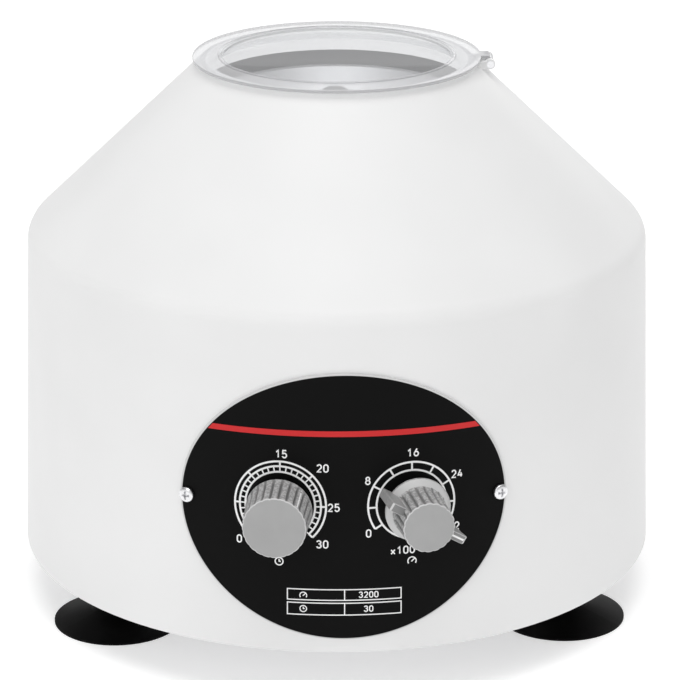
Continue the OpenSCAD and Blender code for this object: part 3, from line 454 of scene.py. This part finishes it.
# profile of radius and height turned round Z: x is the radius less its change times the cosine of the
# turn, y the same times the sine; a grid of profile points by turns
def turned(profile, columns, radiusChange=None):
    profile = np.asarray(profile, float)
    turn = np.linspace(0, 2 * np.pi, columns, endpoint=False)
    radius = np.repeat(profile[:, :1], columns, 1)
    if radiusChange is not None:
        radius = radius - radiusChange
    return np.stack([radius * np.cos(turn), radius * np.sin(turn),
                     np.repeat(profile[:, 1:2], columns, 1)], -1)


# a grid's points in one list, and the quads between them
def shellOf(grid, **ways):
    return grid.reshape(-1, 3), gridFaces(*grid.shape[:2], **ways)


ink = {"above": 0.05, "below": -0.03, "step": 0.8}  # millimetres from the face, and between points


# ink along a path: each point moves sideways by half the width, further where the path turns,
# and the flat section runs from under the surface to just above it
def inkStroke(path, width, surface, closed=False):
    path = np.asarray(path, float)
    ahead = np.roll(path, -1, 0) - path
    behind = path - np.roll(path, 1, 0)
    if not closed:
        ahead[-1] = behind[-1]
        behind[0] = ahead[0]
    ahead, behind = (v / np.linalg.norm(v, axis=1, keepdims=True) for v in (ahead, behind))
    middle = ahead + behind
    middle /= np.linalg.norm(middle, axis=1, keepdims=True)
    stretch = 1 / np.clip((middle * ahead).sum(1, keepdims=True), 0.6, 1)
    side = np.stack([-middle[:, 1], middle[:, 0]], 1) * stretch * width / 2
    return inkBand(path + side, path - side, surface, closed)


# ink between two edges with the same number of points
def inkBand(left, right, surface, closed=False):
    corners = [(left, "below"), (right, "below"), (right, "above"), (left, "above")]
    grid = np.stack([surface(line[:, 0], line[:, 1], ink[level]) for line, level in corners], 1)
    return shellOf(grid, wrapRows=True) if closed else barOf(grid)


# a bar from four-cornered sections, with a face on each end
def barOf(grid):
    points, faces = shellOf(grid)
    last = len(points) - 4
    return points, np.concatenate([faces, [[0, 1, 2, 3], [last, last + 3, last + 2, last + 1]]])


# evenly spaced points on the straight lines from corner to corner
def straight(*corners):
    corners = np.asarray(corners, float)
    parts = []
    for start, end in zip(corners[:-1], corners[1:]):
        count = max(1, int(np.linalg.norm(end - start) / ink["step"]))
        parts.append(start + (end - start) * np.linspace(0, 1, count, endpoint=False)[:, None])
    return np.concatenate(parts + [corners[-1:]])


# arc from one angle to another in degrees, on an ellipse: the centre plus each radius times the
# cosine or the sine of the turn
def arc(centre, radii, start, end, count=24, endpoint=True):
    turn = np.radians(np.linspace(start, end, count, endpoint=endpoint))
    return np.stack([centre[0] + radii[0] * np.cos(turn), centre[1] + radii[1] * np.sin(turn)], 1)


# figures as centre lines in a unit box, some of them closed
def figurePaths(figure):
    def ring(centre, radii):
        return arc(centre, radii, 0, 360, endpoint=False), True

    def line(*corners):
        return np.array(corners), False

    def curve(*parts):
        return np.concatenate(parts), False

    return {
        "0": [(np.concatenate([arc((0.5, 0.70), (0.5, 0.30), 0, 180),
                               arc((0.5, 0.30), (0.5, 0.30), 180, 360)]), True)],
        "1": [line((0.12, 0.72), (0.58, 1.0), (0.58, 0.0))],
        "2": [curve(arc((0.5, 0.70), (0.48, 0.30), 165, -30), [(0.02, 0.0), (1.0, 0.0)])],
        "3": [curve(arc((0.47, 0.765), (0.45, 0.235), 165, -75)),
              curve(arc((0.47, 0.275), (0.51, 0.275), 98, -165))],
        "4": [line((0.60, 1.0), (0.0, 0.25), (1.05, 0.25)), line((0.76, 0.58), (0.76, 0.0))],
        "5": [curve([(0.92, 1.0), (0.12, 1.0), (0.08, 0.56)], arc((0.47, 0.31), (0.50, 0.31), 128, -160))],
        "6": [ring((0.5, 0.31), (0.5, 0.31)), line((0.66, 1.0), (0.07, 0.46))],
        "8": [ring((0.5, 0.765), (0.41, 0.235)), ring((0.5, 0.275), (0.5, 0.275))],
        "x": [line((0.05, 0.0), (0.95, 0.62)), line((0.05, 0.62), (0.95, 0.0))],
    }[figure]


lettering = {"wide": 0.56, "gap": 0.12}  # a figure's width and the gap, as shares of its height


# a number centred on a point, figure by figure
def numberStrokes(number, centre, height, stroke):
    tall = height - stroke
    wide = tall * lettering["wide"]
    pitch = wide + stroke + height * lettering["gap"]
    start = centre[0] - (pitch * (len(number) - 1) + wide) / 2
    shells = []
    for place, figure in enumerate(number):
        corner = np.array([start + place * pitch, centre[1] - tall / 2])
        for path, closed in figurePaths(figure):
            shells.append(inkStroke(corner + path * [wide, tall], stroke, onPanel, closed))
    return shells


# dials: centres and radii on the panel's face, in millimetres
timerDial = {"centre": (-24.35, 80.4), "rings": (17.4, 15.5, 13.3), "ringWidth": 0.75,
             "from": -45, "to": 225, "majorStep": 45, "minorStep": 9,
             "numbers": {"0": (-15.7, -14.8), "15": (0.5, 20.4), "20": (16.1, 15.3),
                         "25": (20.3, -0.3), "30": (16.0, -15.0)}}
speedDial = {"centre": (25.5, 80.4), "rings": (16.7, 13.5), "ringWidth": 0.75,
             "from": -33, "to": 213, "ticks": 9,
             "numbers": {"0": (-16.5, -10.8), "8": (-16.8, 10.2), "16": (0.4, 20.4),
                         "24": (17.8, 10.1), "32": (16.5, -10.8)}}
# marks, the factor under the speed dial, the two symbols and the framed rows, in millimetres; hands and
# needle are shares of their symbol's size
marks = {"figureHeight": 3.35, "figureStroke": 0.52, "tickWidth": 0.7, "minorWidth": 0.5,
         "stripeZ": 109.2, "stripeWidth": 2.2, "rim": 0.55}
factor = {"text": "x100", "aside": -3.6, "above": 4.3, "height": 3.3, "stroke": 0.5}
symbols = {"below": 22.5, "line": 0.45, "clockSize": 1.5, "clockAside": -0.3, "minuteHand": 0.62,
           "hourHand": 0.45, "gaugeSize": 1.6, "gaugeDrop": 0.4, "gaugeFrom": -35, "gaugeTo": 215,
           "needleTail": 0.15, "needleReach": 0.62}
ratingFrames = {"left": -21.5, "right": 21.3, "divide": 0.0, "rows": ((42.8, 47.1), (36.8, 41.6)),
                "line": 0.4, "symbolX": -15.5, "symbolLine": 0.36, "gaugeSize": 1.3, "gaugeDrop": 0.35,
                "clockSize": 1.25, "numberX": 9.0, "numberHeight": 2.6, "numberStroke": 0.4}


# a point at an angle in degrees: the centre plus the radius times its cosine and its sine
def polar(centre, radius, angle):
    turn = math.radians(angle)
    return centre[0] + radius * math.cos(turn), centre[1] + radius * math.sin(turn)


# timer scale: three arcs, long ticks between the outer two and short ones between the inner two
def timerScale(d):
    c, (outer, middle, inner) = d["centre"], d["rings"]
    shells = [inkStroke(arc(c, (r, r), d["from"], d["to"], 120), d["ringWidth"], onPanel)
              for r in d["rings"]]
    for angle in np.arange(d["from"], d["to"] + 1, d["majorStep"]):
        shells.append(inkStroke(straight(polar(c, middle, angle), polar(c, outer, angle)),
                                marks["tickWidth"], onPanel))
    for angle in np.arange(d["from"], d["to"] + 1, d["minorStep"]):
        shells.append(inkStroke(straight(polar(c, inner, angle), polar(c, middle, angle)),
                                marks["minorWidth"], onPanel))
    return shells


# speed scale: an outer arc, a full inner circle and nine even ticks
def speedScale(d):
    c, (outer, inner) = d["centre"], d["rings"]
    shells = [inkStroke(arc(c, (outer, outer), d["from"], d["to"], 120), d["ringWidth"], onPanel),
              inkStroke(arc(c, (inner, inner), 0, 360, 120, False), d["ringWidth"], onPanel, True)]
    for angle in np.linspace(d["from"], d["to"], d["ticks"]):
        shells.append(inkStroke(straight(polar(c, inner, angle), polar(c, outer, angle)),
                                marks["tickWidth"], onPanel))
    return shells


# clock face: a circle with two hands
def clockSymbol(centre, size, line):
    c = np.array(centre)
    hands = np.array([c + (0, size * symbols["minuteHand"]), c, c + (size * symbols["hourHand"], 0)])
    return [inkStroke(arc(c, (size, size), 0, 360, 40, False), line, onPanel, True),
            inkStroke(hands, line, onPanel)]


# gauge: an arc open at the bottom, with a needle
def gaugeSymbol(centre, size, line):
    c = np.array(centre)
    tail, reach = size * symbols["needleTail"], size * symbols["needleReach"]
    return [inkStroke(arc(c, (size, size), symbols["gaugeFrom"], symbols["gaugeTo"], 40), line, onPanel),
            inkStroke(np.array([c - (tail, tail), c + (reach, reach)]), line, onPanel)]


# the numbers of a dial, each at its offset from the centre
def dialNumbers(d):
    shells = []
    for number, offset in d["numbers"].items():
        centre = (d["centre"][0] + offset[0], d["centre"][1] + offset[1])
        shells += numberStrokes(number, centre, marks["figureHeight"], marks["figureStroke"])
    return shells


# all the print on the panel: dials, numbers, symbols, the stripe and the two framed rows
def addPrint():
    timeX, timeZ = timerDial["centre"][0], timerDial["centre"][1] - symbols["below"]
    speedX, speedZ = speedDial["centre"][0], speedDial["centre"][1] - symbols["below"]
    addPiece("timerScale", timerScale(timerDial), "whiteInk")
    addPiece("speedScale", speedScale(speedDial), "whiteInk")
    factorStrokes = numberStrokes(factor["text"], (speedX + factor["aside"], speedZ + factor["above"]),
                                  factor["height"], factor["stroke"])
    addPiece("dialNumbers", dialNumbers(timerDial) + dialNumbers(speedDial) + factorStrokes, "whiteInk")
    clock = clockSymbol((timeX + symbols["clockAside"], timeZ), symbols["clockSize"], symbols["line"])
    gauge = gaugeSymbol((speedX, speedZ - symbols["gaugeDrop"]), symbols["gaugeSize"], symbols["line"])
    addPiece("dialSymbols", clock + gauge, "whiteInk")
    addPiece("redStripe", [stripe()], "redInk")
    addPiece("ratingFrames", frames(ratingFrames), "whiteInk")


# stripe across the panel: at each edge height it ends on the oval, inside the pale rim, where the
# square root of 1 less the height's share squared gives the reach
def stripe():
    def edge(z):
        halfWidth = panel["halfWidth"] - marks["rim"]
        halfHeight = panel["halfHeight"] - marks["rim"]
        reach = halfWidth * math.sqrt(1 - ((z - panel["z"]) / halfHeight) ** 2)
        end = faceRadius * math.asin(reach / faceRadius)
        return np.stack([np.linspace(-end, end, 140), np.full(140, z)], 1)
    return inkBand(edge(marks["stripeZ"] + marks["stripeWidth"] / 2),
                   edge(marks["stripeZ"] - marks["stripeWidth"] / 2), onPanel)


# two framed rows, each with a symbol on the left and a plain number on the right
def frames(f):
    shells = []
    for low, high in f["rows"]:
        corners = [(f["left"], low), (f["right"], low), (f["right"], high), (f["left"], high)]
        shells.append(inkStroke(straight(*corners, corners[0])[:-1], f["line"], onPanel, True))
        shells.append(inkStroke(straight((f["divide"], low), (f["divide"], high)), f["line"], onPanel))
    upper, lower = [(low + high) / 2 for low, high in f["rows"]]
    shells += gaugeSymbol((f["symbolX"], upper - f["gaugeDrop"]), f["gaugeSize"], f["symbolLine"])
    shells += clockSymbol((f["symbolX"], lower), f["clockSize"], f["symbolLine"])
    for number, middle in (("3200", upper), ("30", lower)):
        shells += numberStrokes(number, (f["numberX"], middle), f["numberHeight"], f["numberStroke"])
    return shells


addPrint()
print("panel print added")

# knobs: heights are along the shaft from the knob's foot, in millimetres. The foot rows give height,
# radius change and share of the groove, and the cap rows the same with the depth below the top.
shaftRadius = 3.05
timerKnob = {"x": -24.1, "z": 80.401, "lean": -6, "gap": 5, "radius": 12.6, "height": 17.3, "taper": 0.7,
             "bore": 5, "draft": 0.12, "footHeight": 0.9, "bevel": 0.4,
             "footRows": [(0.2, -0.12, 0), (0.9, -0.14, 0.2), (1.9, -0.16, 0.8), (2.6, -0.18, 1)],
             "gripFrom": 4.5, "gripTo": 3.6,
             "capRows": [(2.9, 0.08, 0.85), (1.8, 0.05, 0.5), (0.9, 0.02, 0.27), (0.4, 0, 0.2)],
             "capGroove": 0.18, "ribs": 24, "ribReach": 13, "grooveDepth": 1.0, "grooveWidth": 0.45,
             "indexAngle": 45, "indexWidth": 0.6, "indexFrom": 1.6, "indexTo": 0.9}
speedKnob = {"x": 26.2, "z": 80.401, "lean": 10.8, "gap": 5, "skirt": 12.5, "skirtHeight": 2.4,
             "grip": 9.8, "height": 18.8, "taper": 0.3, "bore": 8, "bevel": 0.4,
             "skirtRows": [(-1.1, 0), (-0.9, -0.12)],
             "footRows": [(0.6, 0.75, 0), (0.9, 0.45, 0), (2.2, 0.35, 0.4), (3.6, 0.3, 0.95)],
             "gripFrom": 4.4, "gripTo": 3.4,
             "capRows": [(2.6, 0, 0.85), (1.6, 0, 0.55), (0.8, 0, 0.35), (0.4, 0, 0.28)],
             "capGroove": 0.25, "ribs": 20, "ribReach": 10.4, "grooveDepth": 0.95, "grooveWidth": 0.6,
             "pointerAngle": -30, "pointerReach": 17.3, "tailReach": 16.1, "pointerWidth": 3.4,
             "pointerHeight": 13.8, "noseFoot": 5, "noseBack": 1.5, "noseHeight": 3, "tailLean": 1,
             "corner": 0.6, "edgeRound": 0.4, "lineWidth": 0.75, "lineFrom": 0.5, "lineTo": 0.75}
# the edge tone is a painted highlight on rounded edges and the skirt, and the groove tone is painted shade
# in the grooves
gripTones = {"low": 0.28, "high": 0.49, "grooveShade": 0.19, "cap": 0.36, "edge": 0.55, "mottling": 1.5}
finishes["timerGrip"] = greyKnobFinish("timerGrip", gripTones, timerKnob)
finishes["speedGrip"] = greyKnobFinish("speedGrip", gripTones, speedKnob)


# depth of a rib's groove round a knob: a bell curve of the arc distance to the nearest groove
def grooves(knob, radius, columns):
    turn = np.linspace(0, 2 * np.pi, columns, endpoint=False)
    pitch = 2 * np.pi / knob["ribs"]
    away = (np.mod(turn, pitch) - pitch / 2) * radius
    return knob["grooveDepth"] * np.exp(-(away / knob["grooveWidth"]) ** 2)


# the start of a knob's profile: from the end of its bore to the rim of its foot
def boreRows(k, rim, chamfer):
    depth = k["height"] - k["bore"]
    return [(depth, 0, 0), (depth, shaftRadius, 0), (0, shaftRadius, 0), (0, rim - 0.3, 0),
            (chamfer, rim, 0)]


# the end of a knob's profile: from the cap's rim over its bevel to the middle of its flat face
def capRows(k, crown):
    top = k["height"]
    rows = [(top - depth, crown + wider, share) for depth, wider, share in k["capRows"]]
    return rows + [(top, crown - k["bevel"], k["capGroove"]), (top, crown / 2, 0), (top, 0, 0)]


# a knob from its profile of height, radius and share of the groove, turned round the shaft; the
# grooves are taken off the radius
def knobShell(k, rows, rim):
    rows = np.array(rows)
    columns = k["ribs"] * 20
    local = turned(rows[:, 1::-1], columns, rows[:, 2:] * grooves(k, rim, columns))
    local[..., 2] += k["gap"]
    return shellOf(atControl(local, k))


# timer knob: a short smooth foot, a fluted grip that tapers a little, and a flat cap
def addTimerKnob(k):
    top, rim = k["height"], k["radius"]

    def gripRadius(height):
        return rim - k["draft"] - (k["taper"] - k["draft"]) * height / top

    rows = boreRows(k, rim, 0.25) + [(k["footHeight"], rim, 0)]
    rows += [(k["footHeight"] + up, rim + change, share) for up, change, share in k["footRows"]]
    rows += [(h, gripRadius(h), 1) for h in np.linspace(k["gripFrom"], top - k["gripTo"], 5)]
    rows += capRows(k, rim - k["taper"])
    addPiece("timerKnob", [knobShell(k, rows, rim)], "timerGrip", "timer_control",
             ["timer_knob"], sharp=30)

    # across is the arc length from the index line, height the way up the grip
    def side(across, height, lift):
        radius = gripRadius(height) + lift
        turn = math.radians(k["indexAngle"]) + across / rim
        local = np.stack([radius * np.cos(turn), radius * np.sin(turn), height + k["gap"]], -1)
        return atControl(local, k)
    line = straight((0, k["indexFrom"]), (0, top - k["indexTo"]))
    addPiece("timerIndexLine", [inkStroke(line, k["indexWidth"], side)], "whiteInk", "timer_control")


# speed knob: a conical skirt, a fluted grip and a flat cap, with a bar across
def addSpeedKnob(k):
    top, skirt, grip, low = k["height"], k["skirt"], k["grip"], k["skirtHeight"]
    rows = boreRows(k, skirt, 0.3)
    rows += [(low + up, skirt + change, 0) for up, change in k["skirtRows"]]
    rows += [(low + up, grip + change, share) for up, change, share in k["footRows"]]
    rows += [(h, grip + k["taper"] - k["taper"] * h / top, 1)
             for h in np.linspace(low + k["gripFrom"], top - k["gripTo"], 5)]
    rows += capRows(k, grip)
    addPiece("speedKnob", [knobShell(k, rows, grip)], "speedGrip", "speed_adjuster",
             ["speed_knob"], sharp=30)
    addPointer(k)


# an outline moved inwards: each corner goes along the middle of its two inward normals
def inset(outline, amount):
    ahead = np.roll(outline, -1, 0) - outline
    ahead /= np.linalg.norm(ahead, axis=1, keepdims=True)
    inward = np.stack([-ahead[:, 1], ahead[:, 0]], 1)
    before = np.roll(inward, 1, 0)
    return outline + amount * (inward + before) / (1 + (inward * before).sum(1, keepdims=True))


# pointer: an outline of reach and height carried across the bar's width, and drawn in along a
# quarter circle at both sides, which rounds all its edges
def addPointer(k):
    reach, tail, high = k["pointerReach"], k["tailReach"], k["pointerHeight"]
    half, bend, corner = k["pointerWidth"] / 2, k["edgeRound"], k["corner"]
    outline = np.array([(-tail, 0), (reach - k["noseFoot"], 0),
                        (reach - k["noseBack"], high - k["noseHeight"]),
                        (reach, high - corner), (reach - corner, high),
                        (k["tailLean"] + corner - tail, high), (k["tailLean"] - tail, high - corner)])
    turn = math.radians(k["pointerAngle"])
    along = np.array([math.cos(turn), math.sin(turn), 0])
    across = np.array([-math.sin(turn), math.cos(turn), 0])
    out = np.array([0, 0, 1])
    middle = np.repeat(outline.mean(0)[None], len(outline), 0)
    lines = [(-half, middle)]
    lines += [(bend - half - bend * math.cos(t), inset(outline, bend - bend * math.sin(t)))
              for t in np.linspace(0, math.pi / 2, 7)]
    lines += [(-place, line) for place, line in lines[::-1]]
    local = np.stack([line[:, :1] * along + place * across + (line[:, 1:] + k["gap"]) * out
                      for place, line in lines])
    addPiece("speedPointer", [shellOf(atControl(local, k))], "greyPlastic", "speed_adjuster")

    # the bar's top: a point at a reach along it, a way across it and a lift off it
    def topFace(reachAt, sideAt, lift):
        reachAt, sideAt = reachAt[..., None], sideAt[..., None]
        return atControl(reachAt * along + sideAt * across + (high + k["gap"] + lift) * out, k)
    line = straight((k["grip"] - k["lineFrom"], 0), (reach - k["lineTo"], 0))
    addPiece("pointerLine", [inkStroke(line, k["lineWidth"], topFace)], "whiteInk", "speed_adjuster")


addTimerKnob(timerKnob)
addSpeedKnob(speedKnob)
print("knobs added")

# lid, in millimetres: z is the flange's underside, and lift keeps it just off the mouth
lid = {"z": 220.745, "radius": 57.8, "thickness": 1.6, "lift": 0.05, "edgeRound": 0.5,
       "ringRadius": 47.6, "ringWidth": 2.0, "ringHeight": 0.6, "sink": 1.4,
       "spigotRadius": 51.4, "spigotWidth": 2.0, "spigotHeight": 4.0, "spigotRound": 0.4, "clearance": 0.1,
       "hingeX": 61.0, "hingeZ": 219.445, "barrelRadius": 1.9, "pinRadius": 0.86, "barrelRound": 0.2,
       "halfWidth": 4.5, "play": 0.05}


# clear lid: one turned profile, with the ring as half a wave, then the tab and the hinge barrel
def addLid(k):
    half = k["halfWidth"] - k["play"]
    shells = [shellOf(turned(lidProfile(k), 256)), barOf(lidTab(k, half)), lidBarrel(k, half)]
    addPiece("lidMoulding", shells, "clearLid", "lid", ["lid"], sharp=40)


# the lid's profile from the window's middle: the ring rises by a sine, the flange's edge is half an
# ellipse, and the locating ring hangs below
def lidProfile(k):
    low, top = k["z"] + k["lift"], k["z"] + k["thickness"]
    window = top - k["sink"]
    inner = k["ringRadius"] - k["ringWidth"]
    ring = [(k["ringRadius"] - k["ringWidth"] * u,
             top + k["ringHeight"] * math.sin(math.pi * min(1, u * 1.25)) ** 0.7)
            for u in np.linspace(0, 0.8, 13)]
    turn = np.linspace(-np.pi / 2, np.pi / 2, 9)
    edge = np.stack([k["radius"] - k["edgeRound"] + k["edgeRound"] * np.cos(turn),
                     (low + top) / 2 + (top - low) / 2 * np.sin(turn)], 1)
    outside, inside = k["spigotRadius"] - k["clearance"], k["spigotRadius"] - k["spigotWidth"]
    foot, bend = k["z"] - k["spigotHeight"], k["spigotRound"]
    spigot = [(outside, low), (outside, foot + bend), (k["spigotRadius"] - bend, foot),
              (inside + bend - k["clearance"], foot), (inside, foot + bend),
              (inside, window - k["thickness"]), (0, window - k["thickness"])]
    start = [(0, window), (inner - 0.6, window), (inner - 0.2, window + 0.3), (inner, top - 0.2)]
    return np.concatenate([start, ring[::-1], edge[::-1], spigot])


# the flat tab between flange and barrel: one section at three places along the hinge
def lidTab(k, half):
    low, top = k["z"] + k["lift"], k["z"] + k["thickness"]
    root = k["radius"] - 0.4
    corners = np.array([(root, low + 0.2), (k["hingeX"], low + 0.2), (k["hingeX"] - 0.1, top - 0.1),
                        (root, top - 0.1)])
    return np.stack([np.c_[corners[:, 0], np.full(4, y), corners[:, 1]] for y in (-half, 0, half)])


# the hinge barrel: a tube turned round the pin, which lies along Y
def lidBarrel(k, half):
    bore, outer, bend = k["pinRadius"], k["barrelRadius"], k["barrelRound"]
    tube = turned([(bore, -half), (outer - bend, -half), (outer, bend - half),
                   (outer, half - bend), (outer - bend, half), (bore, half)], 48)
    points = np.stack([tube[..., 0] + k["hingeX"], tube[..., 2], tube[..., 1] + k["hingeZ"]], -1)
    return shellOf(points, wrapRows=True)


# panel screws, in millimetres: heights from the panel's face, and the cross in the head
panelScrew = {"x": 59.1, "z": 80.401, "headRadius": 3.0, "headHeight": 2.0, "headEdge": 0.9, "seat": 0.15,
              "shank": 1.45, "length": 9.0, "crossHalfWidth": 0.42, "crossReach": 1.75, "crossDepth": 1.1,
              "crossSlope": 0.12, "crossFade": 1.0}


# cross-head screw: a domed head, a flattened quarter ellipse, less a cross that gets shallower
# towards its ends
def addPanelScrews(k):
    rim, high, edge, seat = k["headRadius"], k["headHeight"], k["headEdge"], k["seat"]
    rows = [(-k["length"], 0), (-k["length"], k["shank"]), (seat, k["shank"]), (seat, rim - 0.15),
            (0.35, rim), (edge, rim)]
    rows += [(edge + (high - edge) * math.cos(a) ** 0.8, rim * math.sin(a) ** 0.8)
             for a in np.linspace(math.pi / 2, 0, 26)[1:]]
    local = turned(np.array(rows)[:, ::-1], 144)
    x, y = np.abs(local[..., 0]), np.abs(local[..., 1])
    arm, far = np.minimum(x, y), np.maximum(x, y)
    cut = np.clip((k["crossHalfWidth"] - arm) / k["crossSlope"], 0, 1)
    cut = cut * np.clip((k["crossReach"] - far) / k["crossFade"], 0, 1)
    cut = cut * (local[..., 2] > edge + 0.05)
    local[..., 2] -= cut * k["crossDepth"]
    lean = math.degrees(math.asin(k["x"] / faceRadius))
    shells = [shellOf(atControl(local, {"x": side * k["x"], "z": k["z"], "lean": lean * side}))
              for side in (-1, 1)]
    addPiece("panelScrews", shells, "platedSteel", stands=["panel_screws"])


addLid(lid)
addPanelScrews(panelScrew)
print("lid and panel screws added")

floorPaper = {"half": 7.0, "tone": 0.76, "roughness": 0.9, "glow": 0.44}


# floor: one wide flat sheet of pale paper that glows a little, so that it fades into the background
def addStage(k):
    lines = np.linspace(-k["half"], k["half"], 3)
    across, along = np.meshgrid(lines, lines)
    points = np.stack([across, along, 0 * across], -1)
    mesh = bpy.data.meshes.new("floor")
    mesh.from_pydata(points.reshape(-1, 3).tolist(), [], gridFaces(3, 3, wrapColumns=False).tolist())
    mesh.materials.append(makeFinish("floorPaper", {
        "Base Color": grey(k["tone"]), "Roughness": k["roughness"],
        "Emission Color": grey(1), "Emission Strength": k["glow"]}))
    floor = bpy.data.objects.new("floor", mesh)
    bpy.context.scene.collection.objects.link(floor)


# soft boxes in metres and watts, turned to a point on the axis, and the light of the room round them
aimHeight = 0.1
lights = [
    {"name": "keyLeft", "at": (-1.2, -2.1, 1.35), "size": 1.3, "power": 8.1},
    {"name": "top", "at": (-0.05, -0.4, 2.6), "size": 1.8, "power": 32},
    {"name": "back", "at": (1.0, 2.3, 1.1), "size": 1.3, "power": 7},
]
room = {"strength": 0.42, "overhead": 0.22, "sides": 0.46,
        "haze": 0.36, "hazeLow": 0.16, "hazeHigh": 0.36}


# the tilt of a box is the arc tangent of its level distance over its height above the aim
def addLights():
    for lamp in lights:
        data = bpy.data.lights.new(lamp["name"], "AREA")
        data.size = lamp["size"]
        data.energy = lamp["power"]
        box = bpy.data.objects.new(lamp["name"], data)
        box.location = lamp["at"]
        x, y, z = lamp["at"]
        tilt = math.atan2(math.hypot(x, y), z - aimHeight)
        box.rotation_euler = (tilt, 0, math.atan2(y, x) + math.pi / 2)
        bpy.context.scene.collection.objects.link(box)


# the room is brighter overhead, darker high on its two side walls, and pale all round at the horizon
def addRoom():
    world = bpy.data.worlds.new("studio")
    world.use_nodes = True
    tree = world.node_tree
    w = Wire(tree)
    across, ahead, up = split(w, w.node("ShaderNodeTexCoord"))
    high = up.step(room["hazeLow"], room["hazeHigh"])
    light = (room["strength"] + room["overhead"] * up.maths("MAXIMUM", up, 0.0)
             + room["haze"] * (1 - high) - room["sides"] * high * across ** 4)
    tree.links.new(light.socket, tree.nodes["Background"].inputs[1])
    tree.nodes["Background"].inputs[0].default_value = (1, 1, 1, 1)
    bpy.context.scene.world = world


addStage(floorPaper)
addLights()
addRoom()
print("stage and lights set")
